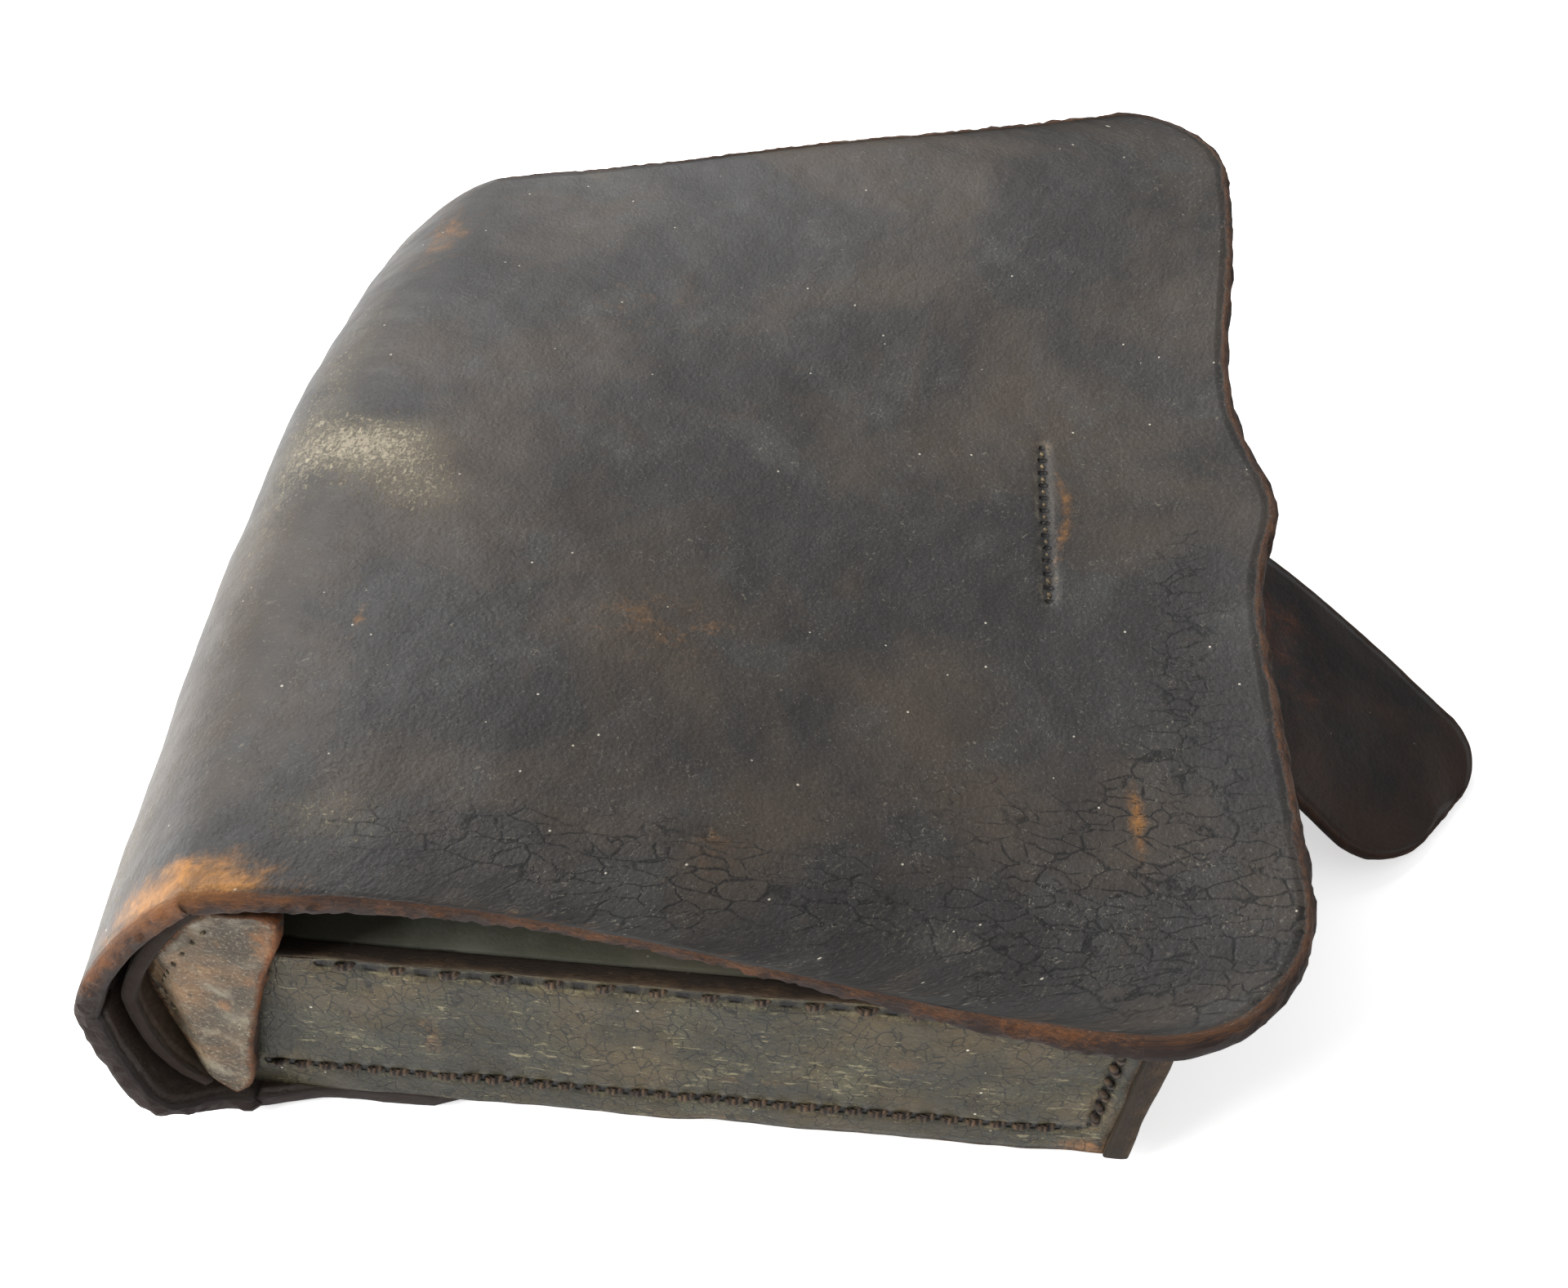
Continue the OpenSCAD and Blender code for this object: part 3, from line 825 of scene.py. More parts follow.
def fold_power(angle, v):
    """Above 1 the fold is pinched to a blunt point, as at the near end. Below 1 it is full."""
    return np.where(angle < 0, between(0.72, 0.88, 0.88, v), between(1.6, 0.84, 1.3, v))


def fold_face(t, v):
    angle = np.radians(90 + 180 * t)
    p = fold_power(angle, v)
    middle = (cover_low + crown(v)) / 2
    x = crown_x - fold_reach(v) * power(np.cos(angle), p)
    z = middle + (crown(v) - middle) * power(np.sin(angle), p)
    slope = FAR_LIFT * np.clip(v, 0, 1) ** 3 / (flap_edge(v * rim) - crown_x)
    z = z - slope * (crown_x - x) * smooth(np.sin(angle))
    half = rim + 1.2 * smooth((-t - 0.6) / 0.15) - 4.5 * smooth((-t - 0.76) / 0.2)
    return np.stack([x, v * half, z], -1)


def flap_edge(y):
    """How far the flap reaches at each place across it: a middle point and two round corners."""
    a = np.abs(y)
    half = np.where(y < 0, rim - 0.5, rim)
    corner = np.where(y < 0, 25.0, 18.0)
    c = np.clip((a - (half - corner)) / corner, 0, 1)
    shoulder = np.where(y < 0, 0.5, 4.2) * smooth((a - 25) / 50)
    return end_x + 17.4 + 5.2 * np.exp(-((y / 13) ** 2)) + shoulder - corner * (1 - np.sqrt(1 - c * c))


def flap_face(s, v):
    half = np.where(v < 0, rim - 24 * s + 23.5 * s * s, rim)
    last = np.where(v < 0, rim - 0.5, rim)
    q, k = s * s, s**3
    z = crown(v) - 39 * q + 41 * k + (60 * q - 41 * k) * v + (22 * q - 18 * k) * v * v
    z = lerp(z, crown(v) + FAR_LIFT * s, np.clip(v, 0, 1) ** 3)
    return np.stack([lerp(crown_x, flap_edge(v * last), s), v * half, z], -1)


def cover_face(t, v):
    t, v = np.broadcast_arrays(t, v)
    return np.where((t <= 0)[..., None], fold_face(np.minimum(t, 0), v), flap_face(np.maximum(t, 0), v))


def hide_length(ts, vs):
    """How far along the hide each place is, from the crown: below 0 round the fold."""
    fine = np.linspace(-1, 0, 240)
    path = fold_face(fine[:, None], vs[None, :])
    step = np.linalg.norm(np.diff(path, axis=0), axis=-1)
    back = np.vstack([-np.cumsum(step[::-1], axis=0)[::-1], np.zeros(len(vs))])
    return np.stack([np.where(ts <= 0, np.interp(ts, fine, back[:, j]), 165 * ts) for j in range(len(vs))], 1)


def cover_grid(ts, vs):
    """The face and underside of part of the cover, with the hide's own swells and hollows."""
    t, v = np.meshgrid(ts, vs, indexing="ij")
    face = cover_face(t, v)
    step = 0.002
    along = cover_face(t + step, v) - cover_face(t - step, v)
    outer = np.clip(np.abs(v), 0, 0.995) * np.sign(v)
    across = cover_face(t, outer + step) - cover_face(t, outer - step)
    normal = unit(np.cross(along, across))
    u, w = hide_length(ts, vs), v * rim
    swell = 0.28 * ripple(u, w, 60, 11) + 0.1 * ripple(u, w, 17, 12) + 0.035 * ripple(u, w, 6, 13)
    calm = smooth((t + 1.0) / 0.2)
    face = face - normal * (0.1 - swell * calm)[..., None]
    under = face - normal * (cover_t - 0.3)
    return face, under, np.dstack([u, w])


def cover_wear(flat):
    """Where this cover has been rubbed, scuffed and cracked: on the fold, and at its corners. The wide pale
    haze round the fold is partly dust and partly a painted highlight for the fold's sheen.
    """
    u, w = flat[..., 0], flat[..., 1]
    # Scuffs and pale haze. The wide mark at -16 mm round the fold, across its whole width, is dust and also
    # painted sheen of the fold.
    scuffed = marks(
        u, w, (0.75, (0, -3), (13, 9)), (0.5, (11, -16), (12, 8)), (0.42, (-16, 0), (10, 75)),
        (0.35, (-24, -84), (10, 16)), (0.45, (15, -86), (11, 6)), (0.2, (40, -92), (26, 4)),
        (0.3, (112, -92), (18, 5)), (0.12, (50, 40), (60, 60)),
    )
    rubbed = marks(
        u, w, (0.85, (1, -99), (12, 5)), (0.35, (-14, -98), (12, 5)), (0.4, (-8, 76), (8, 18)),
        (0.62, (140.5, -66), (1.5, 8)), (0.5, (128.4, -3), (1.5, 17)), (0.25, (72, -84), (9, 6)),
        (0.42, (9, -48), (1.2, 7)), (0.28, (58, -40), (16, 9)), (0.2, (40, 50), (20, 12)),
    )
    near_edge = np.exp(-(((w + rim) / 2.6) ** 2)) * smooth((u + 30) / 20)
    rubbed += 0.14 * near_edge - 0.9 * smooth((-u - 26) / 26)
    cracked = marks(
        u, w, (1.0, (146, -78), (30, 26)), (0.75, (152, -24), (10, 36)), (0.8, (60, -90), (64, 12)),
        (0.45, (90, -66), (30, 12)), (0.35, (-20, -50), (20, 40)),
    )
    return np.dstack([scuffed, rubbed, cracked])


def across_steps(count):
    """Steps from edge to edge, closer together near the two edges where the corners turn."""
    return np.sin(np.linspace(-math.pi / 2, math.pi / 2, count))


print("flap reach past the box's end, mm:", (flap_edge(np.array([-60.0, 0.0, 60.0])) - end_x).round(1))

# %% [markdown]
# The cover bends along three lines when the case is opened: where it leaves the back, halfway round the fold,
# and where the fold becomes the flap. The hide is made in three lengths, each crossing one of these lines,
# and each pair meets edge to edge.

# %%
T_LOW, T_HIGH = -0.7, -0.33
latch_line_x = end_x - 15


def cover_length(name, ts, cut_sides, seam_at=None):
    face, under, flat = cover_grid(ts, across_steps(161))
    seam = None
    if seam_at is not None:
        seam = seam_notes(face[..., 0], face[..., 1], [seam_at])
        face = face.copy()
        face[..., 2] -= 0.35 * seam[..., 2]
    return cut_sheet(name, face, under, cover_finish, cut_sides, bulge=0.9, ragged=0.24, flat=flat,
                     wear=cover_wear(flat), seam=seam, seed=21)


def bend(piece, a, b, start, end):
    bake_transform(piece)


base_x = box_mm("cover_back")[0][0]
mid_z = box_mm("fold_upper")[0][2]
turn_x = box_mm("outer_flap")[0][0]

latch_seam = ((latch_line_x, -21), (latch_line_x, 15), 3.0)
flap_steps = np.concatenate([np.linspace(T_HIGH, -0.02, 22), np.linspace(0, 1, 150)])
flap_hide = cover_length("flap_leather", flap_steps, ("near", "end", "far"), latch_seam)
fold_hide = cover_length("fold_leather", np.linspace(T_LOW, T_HIGH, 30), ("near", "far"))
low_hide = cover_length("fold_base_leather", np.linspace(-0.98, T_LOW, 24), ("near", "far", "start"))
bend(flap_hide, "fold_top_leather", "flap", (turn_x - 4, 0, 0), (turn_x + 8, 0, 0))
bend(fold_hide, "fold_base_leather", "fold_top_leather", (0, 0, mid_z - 8), (0, 0, mid_z + 4.5))
bend(low_hide, "box", "fold_base_leather", (base_x + 2, 0, 0), (base_x - 8, 0, 0))
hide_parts("outer_flap")
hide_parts("fold_upper")
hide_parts("fold_lower")
print("cover points:", sum(len(h.data.vertices) for h in (flap_hide, fold_hide, low_hide)))

# %% [markdown]
# ## Flat panels
# The box itself is five flat pieces. `panel` cuts one out of the hide: it takes a corner, two
# directions and a thickness, rounds chosen corners, and lets the face sink and swell slightly.
# The seams near its edges press a groove into it.


# %%
def panel(name, corner, along, across, out, thick, finish, radii=(0, 0, 0, 0), step=1.2, lines=(),
          wear=None, seed=31, bulge=0.35, dish=0.0, flare=0.0):
    """along and across are the two sides as vectors in mm; radii are its four corners'."""
    length, width = np.linalg.norm(along), np.linalg.norm(across)
    rows, cols = max(12, int(length / step)), max(8, int(width / step))
    a, c = np.meshgrid(np.linspace(0, 1, rows), np.linspace(0, 1, cols), indexing="ij")
    u, v = a * length, c * width
    r00, r10, r11, r01 = radii
    left = corner_inset(v, width, r00, r01)
    right = length - corner_inset(v, width, r10, r11)
    u = left + (right - left) * a
    axis_a, axis_c, out = np.array(along) / length, np.array(across) / width, np.array(out, float)
    seam = seam_notes(u, v, lines) if lines else None
    swell = 0.16 * ripple(u, v, 26, seed) + 0.06 * ripple(u, v, 8, seed + 5) - 0.15
    swell = swell - dish * np.sin(math.pi * a) * np.sin(math.pi * c)
    if lines:
        swell = swell - 0.45 * seam[..., 2]
    spread = v + flare * (2 * c - 1) * (1 - smooth(u / 16))
    base = np.array(corner, float) + u[..., None] * axis_a + spread[..., None] * axis_c
    face = base + out * swell[..., None]
    under = base - out * (thick - 0.05)
    flat = np.dstack([u, v])
    return cut_sheet(name, face, under, finish, bulge=bulge, ragged=0.07, flat=flat,
                     wear=None if wear is None else wear(u, v), seam=seam, seed=seed)


def corner_inset(v, width, low_radius, high_radius):
    """How far a side is set in where its corners are rounded off."""
    inset = np.zeros(v.shape)
    for radius, from_side in ((low_radius, v), (high_radius, width - v)):
        if radius:
            c = np.clip(1 - from_side / radius, 0, 1)
            inset = inset + radius * (1 - np.sqrt(1 - c * c))
    return inset


wall_length, wall_height = wall_high[0] - wall_low[0], top_z - wall_z
seam_height = 6.6
right_seam = wall_length - 3.0
wall_lines = [
    ((6, seam_height), (wall_length - 4.9, seam_height), 3.6),
    ((18, wall_height - 1.7), (wall_length - 7, wall_height - 1.7), 7.2),
    ((right_seam, seam_height + 1.5), (right_seam, wall_height - 3), 3.6),
]


def wall_wear(u, v):
    scuffed = marks(
        u, v, (0.25, (90, 16), (34, 8)), (0.35, (128, 18), (5, 14)), (0.3, (60, 34), (60, 2)),
        (0.2, (40, 18), (50, 8)),
    )
    rubbed = marks(
        u, v, (0.7, (131, 1), (7, 3)), (0.4, (32, 18), (2, 9)), (0.35, (129, 14), (3, 10)),
        (0.35, (78, 13), (12, 1.6)), (0.45, (100, 21), (4, 3)), (0.5, (70, 1), (8, 0.8)),
    )
    cracked = 0.5 + marks(u, v, (0.3, (20, 26), (20, 8)))
    return np.dstack([scuffed, rubbed, cracked])


def end_wall(name, side, seed):
    corner = (mouth_x, side * half_w, wall_z)
    return panel(name, corner, (wall_length, 0, 0), (0, 0, wall_height), (0, side, 0), wall_t, wall_finish,
                 radii=(5, 0, 0, 5), step=0.8, lines=wall_lines, wear=wall_wear, seed=seed)


bottom_lines = [((2, side), (wall_height - 2, side), 3.6) for side in (4, 2 * half_w - 4)]
near_wall = end_wall("near_wall_leather", -1, 33)
far_wall = end_wall("far_wall_leather", 1, 37)
inside_y = half_w - wall_t - 0.1
inside_across = (0, 2 * inside_y, 0)
front = panel("front_leather", (mouth_x + 7, -inside_y, top_z - 0.5), (end_x - 3.3 - mouth_x - 7, 0, 0),
              inside_across, (0, 0, 1), 3.1, front_finish, radii=(6, 0, 0, 6), step=2, dish=0.5, seed=41)
bottom_face = end_x + 0.8
bottom = panel("bottom_leather", (bottom_face, -half_w, wall_z), (0, 0, wall_height), (0, 2 * half_w, 0),
               (1, 0, 0), 4.0, wall_finish, step=1.5, seed=43, lines=bottom_lines)
back = panel("back_leather", (mouth_x, -inside_y, back_z), (back_high[0] - mouth_x, 0, 0),
             inside_across, (0, 0, -1), 3.1, wall_finish, step=2, seed=45)
for piece, node in ((near_wall, "near_end_wall"), (far_wall, "far_end_wall"), (front, "front_panel"),
                    (bottom, "bottom_panel"), (back, "back_panel")):
    lay_over(piece, "box", "box_leather", node)
print("box panels:", near_wall.name, far_wall.name, front.name, bottom.name, back.name)

# %% [markdown]
# The part of the cover that is sewn under the back, and the margin of the inner flap that is
# caught in the same seam, are plain straight pieces. They are only seen when the case is turned
# over, but they carry the seam that holds the whole cover on.


# %%
def always_dark(u, v):
    """No bare tan on these edges: nothing ever rubbed them."""
    return np.zeros((*u.shape, 3)) + NEVER_RUBBED


NEVER_RUBBED = (0, -1, 0)
seat_low, seat_high = box_mm("cover_back")
margin_low, margin_high = box_mm("inner_flap_margin")
cover_seam_u = mouth_x + 31 - seat_low[0]
cover_seam = ((cover_seam_u, 8), (cover_seam_u, 2 * half_w - 10), 3.5)
seat = panel("cover_seat_leather", (seat_low[0] + 0.4, -half_w + 0.4, seat_low[2]),
             (seat_high[0] - seat_low[0] - 0.4, 0, 0), (0, 2 * half_w - 0.8, 0), (0, 0, -1), 3.15,
             cover_finish, radii=(0, 6, 6, 0), step=1.5, seed=51, flare=2.8, lines=[cover_seam],
             wear=always_dark)
margin = panel("inner_margin_leather", margin_low, (margin_high[0] - margin_low[0], 0, 0),
               (0, margin_high[1] - margin_low[1], 0), (0, 0, -1), 1.05, lining_finish, step=2, seed=53,
               bulge=0.15)
lay_over(seat, "box", "cover_leather", "cover_back")
lay_over(margin, "box", "inner_leather", "inner_flap_margin")
print("under the back:", seat.name, margin.name)

# %% [markdown]
# ## The inner flap and its ears
# Inside the fold a thinner flap closes the mouth. An ear of leather is sewn into each end of it,
# to keep out rain and dust. The ear is broad at the shoulder and narrows to a blunt toe.

# %%
INNER_GAP = 1.8
SHOULDER_GAP = 1.6
HEM_ANGLE = -62


def shoulder_height(v):
    """The inner flap's highest line, just under the cover."""
    return crown(v) - cover_t - SHOULDER_GAP


def inner_path(v):
    """The inner flap seen from the end: up inside the fold from its hem, then over the front."""
    middle = (cover_low + crown(v)) / 2
    shoulder = shoulder_height(v)
    angle = np.radians(np.linspace(HEM_ANGLE, 90, 70))
    low = angle < 0
    p = np.where(low, 0.75, fold_power(angle, v))
    height = np.where(low, middle - back_z - 0.6, shoulder - middle)
    reach = fold_reach(v) - cover_t - INNER_GAP
    arc = np.column_stack([crown_x - reach * power(np.cos(angle), p),
                           middle + height * power(np.sin(angle), p)])
    s = np.linspace(0, 1, 26)[1:]
    over = np.column_stack([crown_x + 40 * s, lerp(shoulder, top_z + 4.6, smooth(s * 6 / 7))])
    return spaced(np.vstack([arc, over]), 110)


def walked(points):
    """How far along a line each of its points is."""
    return np.concatenate([[0], np.cumsum(np.linalg.norm(np.diff(points, axis=0), axis=1))])


def along_line(points, distances):
    """The places at these distances along a line."""
    walk = walked(points)
    return np.column_stack([np.interp(distances, walk, column) for column in points.T])


def spaced(points, count):
    """The same line with its points at even distances."""
    return along_line(points, np.linspace(0, walked(points)[-1], count))


def inset_path(path, depth):
    ahead = np.gradient(path, axis=0)
    ahead /= np.linalg.norm(ahead, axis=1, keepdims=True)
    return path + depth * np.column_stack([ahead[:, 1], -ahead[:, 0]])


ear_w = 2.7
inner_rim = half_w + 0.3 + ear_w


def inner_flap_hide():
    vs = across_steps(90)
    face, under = [], []
    for v in vs:
        path = inner_path(v)
        thin = inset_path(path, inner_t)
        half = inner_rim - 20 * smooth((path[:, 0] - mouth_x - 4) / 30)
        face.append(np.column_stack([path[:, 0], v * half, path[:, 1]]))
        under.append(np.column_stack([thin[:, 0], v * half, thin[:, 1]]))
    face, under = np.stack(face, 1), np.stack(under, 1)
    return cut_sheet("inner_flap_leather", face, under, lining_finish, bulge=0.5, ragged=0.1,
                     wear=np.zeros(face.shape) + NEVER_RUBBED, seed=61)


def ear_hollow(x):
    """The ear sinks in front of the mouth, where no wall stands behind it."""
    return 4.2 * smooth((mouth_x - 0.5 - x) / 7)


def ear(name, side, seed):
    """A cheek of leather: its left side follows the inner flap, its right side is a free cut."""
    path = inset_path(inner_path(float(side)), inner_t + 0.1)
    z = shoulder_height(float(side))
    left = path[path[:, 0] < mouth_x + 13]
    corner = np.array([(mouth_x + 15.5, left[-1, 1] - 0.8), (mouth_x + 14.5, z - 9), (mouth_x + 10, z - 20),
                       (mouth_x + 6, z - 36), (mouth_x + 4.6, back_z + 4.4), (mouth_x + 1.5, back_z + 1.2)])
    rows, cols = 70, 24
    a, b = spaced(left, rows), spaced(round_off(corner[::-1]), rows)
    share = np.linspace(0, 1, cols)[None, :, None]
    place = a[:, None] * (1 - share) + b[:, None] * share
    x, z = place[..., 0], place[..., 1]
    dish = ear_hollow(x) + 0.12 * ripple(x, z, 7, seed)
    face = np.dstack([x, side * (inner_rim - dish), z])
    under = np.dstack([x, side * (inner_rim - ear_hollow(x) - ear_w + 0.1), z])
    u, v = x - mouth_x, z - wall_z
    scuffed = marks(u, v, (0.5, (6, 22), (5, 9)), (0.4, (2, 42), (5, 5)))
    rubbed = marks(
        u, v, (0.55, (14, 42), (3, 9)), (0.4, (7, 10), (3, 7)), (0.6, (4.5, 27), (1.6, 2)),
        (0.35, (10, 28), (2, 12)),
    )
    # Towards its left end, in front of the mouth, the ear gets more cracks, less bare tan and darker cut
    # edges. This darkening is painted shade of the fold, drawn as cracking and unworn edges.
    wear = np.dstack([scuffed, rubbed - 0.3 * smooth(-u / 6), 0.5 * smooth(-u / 4)])
    return cut_sheet(name, face, under, inner_finish, bulge=0.5, ragged=0.14, wear=wear, seed=seed,
                     flat=np.dstack([u, v]))


def round_off(points, rounds=3):
    """Rounds a path's corners by cutting each of them off again and again."""
    for _ in range(rounds):
        a, b = points[:-1], points[1:]
        middle = np.stack([0.75 * a + 0.25 * b, 0.25 * a + 0.75 * b], 1).reshape(-1, 2)
        points = np.vstack([points[:1], middle, points[-1:]])
    return points


inner_hide = inner_flap_hide()
near_ear, far_ear = ear("near_ear_leather", -1, 63), ear("far_ear_leather", 1, 65)
for piece, node in ((inner_hide, "inner_flap"), (near_ear, "near_ear"), (far_ear, "far_ear")):
    lay_over(piece, "inner", "inner_leather", node)
print("inner flap points:", len(inner_hide.data.vertices))

# %% [markdown]
# ## The latch tab
# A stout tab is sewn under the flap. It runs out past the flap's edge, bends down to the table and twists
# towards the near side. One mesh runs through the whole tab.

# %%
TAB_HALF = 21.5
latch_y = -3.0
TIP_START = 0.9
tab_guides = np.array([(end_x - 18, latch_y, wall_z + 41.4), (end_x + 12, latch_y, wall_z + 45),
                       (end_x + 36, -7, wall_z + 16), (end_x + 67.5, -19, 1.9)])


def tab_middle(t):
    t = np.asarray(t)[..., None]
    s = 1 - t
    a, b, c, d = tab_guides
    return s**3 * a + 3 * s * s * t * b + 3 * s * t * t * c + t**3 * d


def tab_grid():
    ts = np.append(np.linspace(0, TIP_START, 96), np.linspace(TIP_START, 1, 29)[1:])
    vs = np.linspace(-1, 1, 56)
    t, v = np.meshgrid(ts, vs, indexing="ij")
    middle = tab_middle(t)
    angle = np.radians(40) * smooth(t * 1.05)
    across = unit(np.stack([np.sin(angle), np.cos(angle), 0.09 * (1 - smooth(t * 1.3))], -1))
    ahead = tab_middle(np.minimum(t + 0.01, 1.01)) - tab_middle(t - 0.01)
    normal = unit(np.cross(ahead, across))
    tip = np.clip((t - TIP_START) / (1 - TIP_START), 0, 1)
    rounding = 0.34 * (1 - np.sqrt(1 - np.clip((tip - 0.45) / 0.55, 0, 1) ** 2))
    half = TAB_HALF * (1 - 0.3 * tip**1.6 - rounding)
    swell = 0.12 * ripple(t * 110, v * 21, 22, 71) - 0.1
    face = middle + across * (v * half)[..., None] + normal * (tab_t / 2 + swell)[..., None]
    under = middle + across * (v * half)[..., None] - normal * (tab_t / 2 - 0.1)
    flat = np.dstack([t * 112, v * TAB_HALF])
    return face, under, flat


tab_face, tab_under, tab_flat = tab_grid()
tab_u, tab_v = tab_flat[..., 0], tab_flat[..., 1]
tab_rubbed = marks(tab_u, tab_v, (0.5, (60, 6), (10, 10)), (0.35, (74, -4), (6, 8)))
tab_wear = np.dstack([0 * tab_u, tab_rubbed, 0 * tab_u])
tab = cut_sheet("latch_tab_leather", tab_face, tab_under, tab_finish, bulge=0.7, ragged=0.06, flat=tab_flat,
                wear=tab_wear, seed=73)
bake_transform(tab)
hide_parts("latch_tab_root", "latch_tab")
print("tab reach past the box, mm:", round(tab_face[..., 0].max() - end_x, 1))

# %% [markdown]
# ## Belt loops and keeper
# Two straps on the back take a belt, and a small one on the bottom keeps the latch tab's end.
# A strap is a long narrow sheet that follows a path: flat on the panel, up a step, along, down
# again. Real straps are skived thin at their ends, and their corners are soft.


# %%
def strap(name, path, across, width, thick, outside, seed):
    """path is the strap's outer face as a few points in mm; across and outside are directions."""
    line = spaced(np.array(path, float), 90)
    across = np.array(across, float)
    for _ in range(3):
        line[1:-1] = (line[:-2] + 2 * line[1:-1] + line[2:]) / 4
    out = unit(np.cross(unit(np.gradient(line, axis=0)), across))
    if np.sum(out * np.array(outside)) < 0:
        out = -out
    w = np.linspace(-0.5, 0.5, 24)
    base = line[:, None] + w[None, :, None] * width * across
    swell = 0.06 * ripple(np.linspace(0, walked(np.array(path))[-1], 90)[:, None], w[None] * width, 14, seed)
    face = base + out[:, None] * (swell - 0.1)[..., None]
    under = base - out[:, None] * (thick - 0.1)
    return cut_sheet(name, face, under, cover_finish, bulge=0.4, ragged=0.08, seed=seed)


STRAP_T = 1.6
STEP_RUN = 0.8


def belt_loop(name, node, seed):
    low, high = box_mm(node)
    y, width, foot = (low[1] + high[1]) / 2, high[1] - low[1] - 1, 10.0
    x0, x1, sewn_z = low[0], high[0], high[2] - STRAP_T
    path = [(x0, y, sewn_z), (x0 + foot - STEP_RUN, y, sewn_z), (x0 + foot, y, low[2]),
            (x1 - foot, y, low[2]), (x1 - foot + STEP_RUN, y, sewn_z), (x1, y, sewn_z)]
    piece = strap(name, path, (0, 1, 0), width, STRAP_T, (0, 0, -1), seed)
    return lay_over(piece, "box", "loop_leather", node)


def keeper(name, node, seed):
    low, high = box_mm(node)
    z, height, foot = (low[2] + high[2]) / 2, high[2] - low[2] - 1, 9.0
    y0, y1, sewn_x = low[1], high[1], low[0] + STRAP_T
    path = [(sewn_x, y0, z), (sewn_x, y0 + foot - STEP_RUN, z), (high[0], y0 + foot, z),
            (high[0], y1 - foot, z), (sewn_x, y1 - foot + STEP_RUN, z), (sewn_x, y1, z)]
    piece = strap(name, path, (0, 0, 1), height, STRAP_T, (1, 0, 0), seed)
    return lay_over(piece, "box", "loop_leather", node)


near_loop = belt_loop("near_belt_loop_leather", "near_belt_loop", 81)
far_loop = belt_loop("far_belt_loop_leather", "far_belt_loop", 83)
keeper_hide = keeper("keeper_leather", "keeper_loop", 85)
print("straps:", near_loop.name, far_loop.name, keeper_hide.name)

# %% [markdown]
# ## Sewing it together
# Now the threads. Each row follows the groove pressed into the leather above, so we use the same
# lines again. The rows on the two ends, the one that holds the latch tab, and the ears are seen
# most. The others hold the hidden straps.


# %%
def stitch_flat(name, lines, origin, axis_u, axis_v, out, body, node, sink=0.3, finish=None, **look):
    spots, along, outs = [], [], []
    for u, v, angle in seam_spots(lines):
        spots.append(np.array(origin) + u * np.array(axis_u) + v * np.array(axis_v) - sink * np.array(out))
        along.append(math.cos(angle) * np.array(axis_u) + math.sin(angle) * np.array(axis_v))
        outs.append(out)
    return lay_over(sew(name, spots, along, outs, finish or thread_finish, **look), body, "thread", node)


X, Y, Z = np.eye(3)
wall_look = dict(length=3.5, radius=0.62, slant=24, rise=0.25, sink=0.5, finish=dark_thread_finish)
stitch_flat("near_wall_stitches", wall_lines, (mouth_x, -half_w, wall_z), X, Z, -Y, "box", "near_wall_thread",
            seed=91, **wall_look)
stitch_flat("far_wall_stitches", wall_lines, (mouth_x, half_w, wall_z), X, Z, Y, "box", "far_wall_thread",
            seed=92, **wall_look)
stitch_flat("bottom_stitches", bottom_lines, (bottom_face, -half_w, wall_z), Z, Y, X, "box", "bottom_thread",
            seed=93, **wall_look)
under_seam = ((mouth_x + 31, 8 - half_w), (mouth_x + 31, half_w - 10), 3.5)
stitch_flat("cover_stitches", [under_seam], (0, 0, seat_low[2]), X, Y, -Z, "box", "cover_thread",
            seed=94, length=2.6)
print("rows on the box and under the back are sewn")

# %% [markdown]
# The latch seam lies on the curved flap, so each of its stitches asks the flap how high it is
# there and how steep. The ears' stitches follow the edge of the inner flap in the same way.


# %%
def on_flap(x, y):
    """The height of the flap's face at a place."""
    s = (x - crown_x) / (flap_edge(np.array(y)) - crown_x)
    return float(flap_face(s, np.array(y / rim))[..., 2])


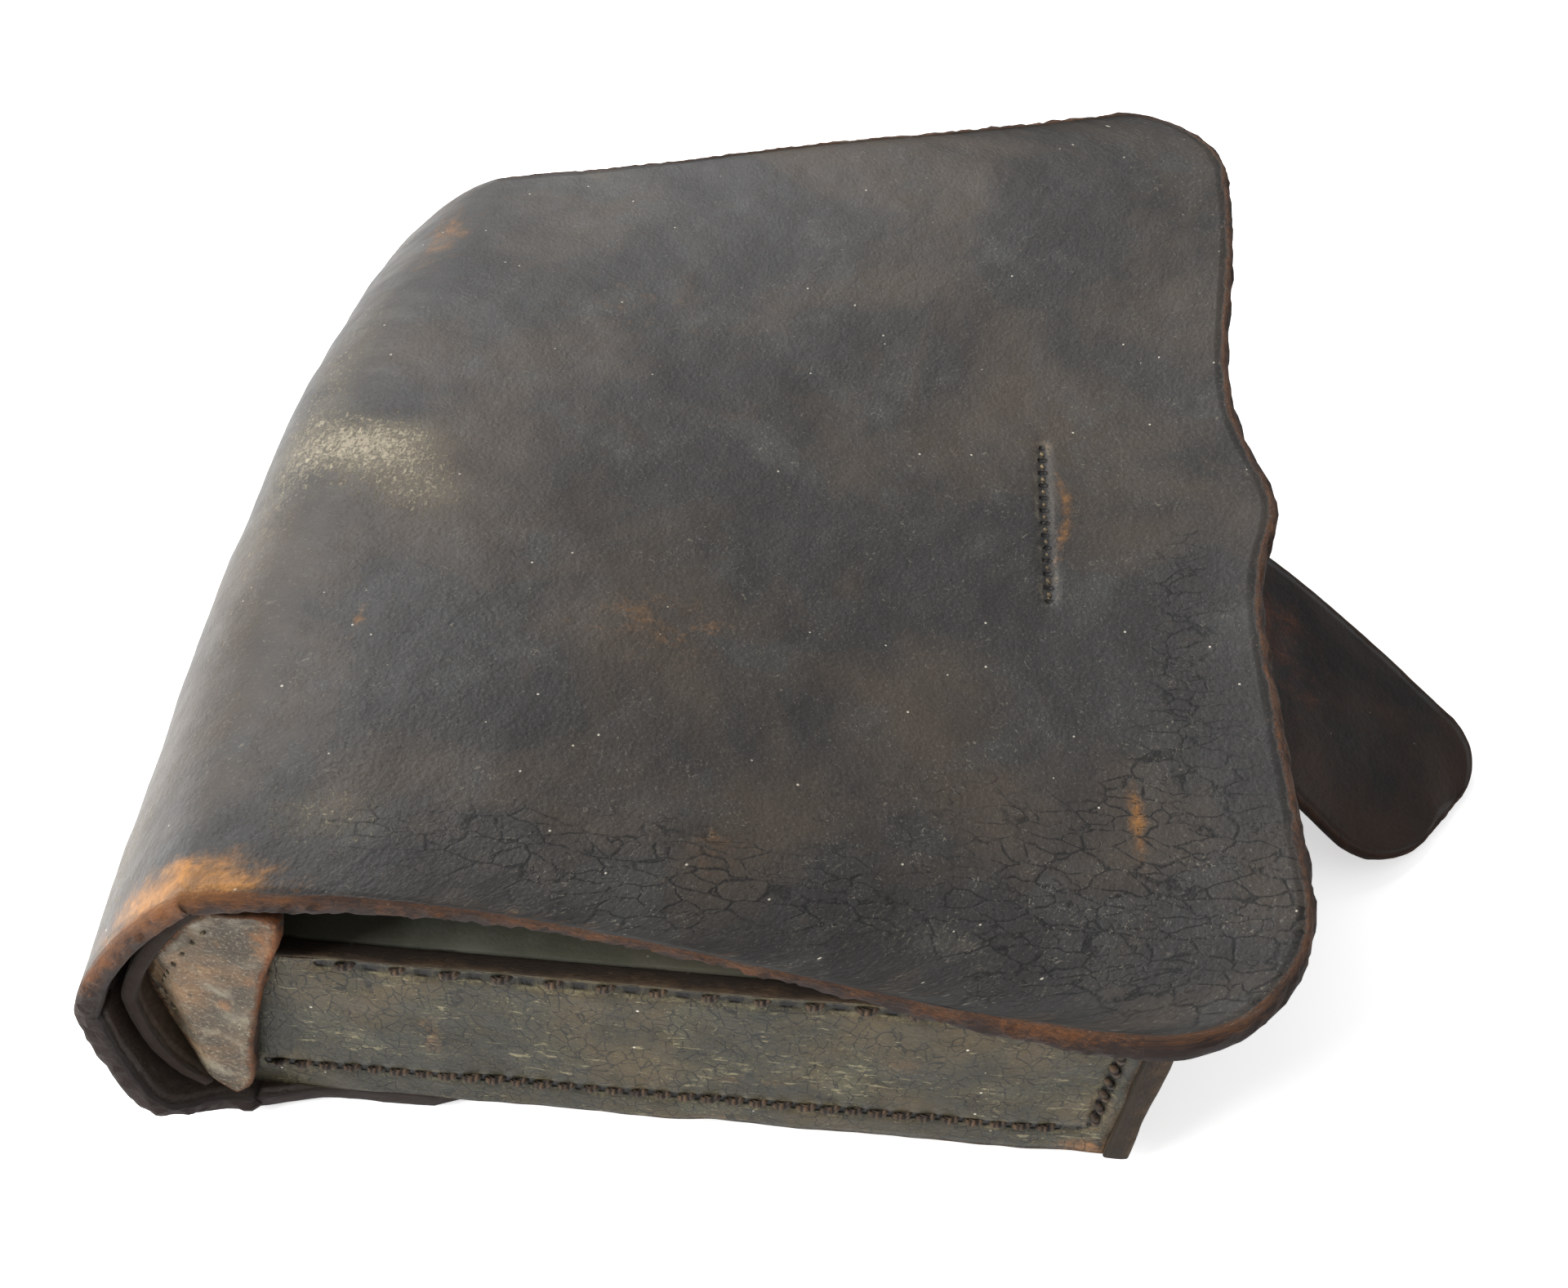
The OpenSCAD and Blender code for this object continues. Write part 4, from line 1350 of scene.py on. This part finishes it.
latch_spots, latch_along, latch_out = [], [], []
(_, latch_start), _, latch_pitch = latch_seam
for k in range(12):
    y = latch_start + (k + 0.5) * latch_pitch
    slope = (on_flap(latch_line_x, y + 1) - on_flap(latch_line_x, y - 1)) / 2
    latch_spots.append((latch_line_x, y, on_flap(latch_line_x, y) - 0.75))
    latch_along.append(unit(np.array([0, 1, slope])))
    latch_out.append(unit(np.array([0, -slope, 1])))
latch_row = sew("latch_stitches", latch_spots, latch_along, latch_out, thread_finish, length=2.3, radius=0.4,
                slant=6, rise=0.3, seed=95)
lay_over(latch_row, "flap", "thread", "latch_thread")

for side, end in ((-1, "near"), (1, "far")):
    path = inset_path(inner_path(float(side)), inner_t + 2.6)
    distances = np.arange(14, walked(path)[path[:, 0] < mouth_x + 6].max(), 3.4)
    places = along_line(path, distances)
    ahead = unit(along_line(path, distances + 0.5) - places)
    spots = [(x, side * (inner_rim - 0.3 - ear_hollow(x)), z) for x, z in places]
    along = [(x, 0, z) for x, z in ahead]
    row = sew(end + "_ear_stitches", spots, along, [(0, side, 0)] * len(places), thread_finish,
              length=2.2, radius=0.34, slant=8, rise=0.2, seed=96)
    lay_over(row, "inner", "thread", end + "_ear_thread")
print("latch and ear rows are sewn")

# %% [markdown]
# Last come the rows that hold the straps: two at each end of a strap.

# %%
for end in ("near", "far"):
    node = end + "_loop_thread"
    low, high = box_mm(node)
    row_places = (low[0] + 0.4, low[0] + 4.0, high[0] - 4.0, high[0] - 0.4)
    rows = [((x, low[1]), (x, high[1]), 3.5) for x in row_places]
    stitch_flat(end + "_loop_stitches", rows, (0, 0, high[2] - 0.1), X, Y, -Z, "box", node, sink=0.2,
                length=2.5, radius=0.36, seed=97)

low, high = box_mm("keeper_thread")
rows = [((low[2], y), (high[2], y), 3.5) for y in (low[1] + 0.4, low[1] + 3.4, high[1] - 3.4, high[1] - 0.4)]
stitch_flat("keeper_stitches", rows, (low[0], 0, 0), Z, Y, X, "box", "keeper_thread", sink=0.1, length=2.5,
            radius=0.36, seed=98)

# %% [markdown]
# ## Comparing the size
# The leather must stay the size of the solids it covers. We print how far each side of the finished case's
# box lies from the solids' box.

# %%
seen_low, seen_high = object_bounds()
past = [(a - b) / MM for a, b in zip((*seen_low, *seen_high), (*cad_low, *cad_high))]
print("difference of the two boxes, mm:", [round(float(d), 2) for d in past])
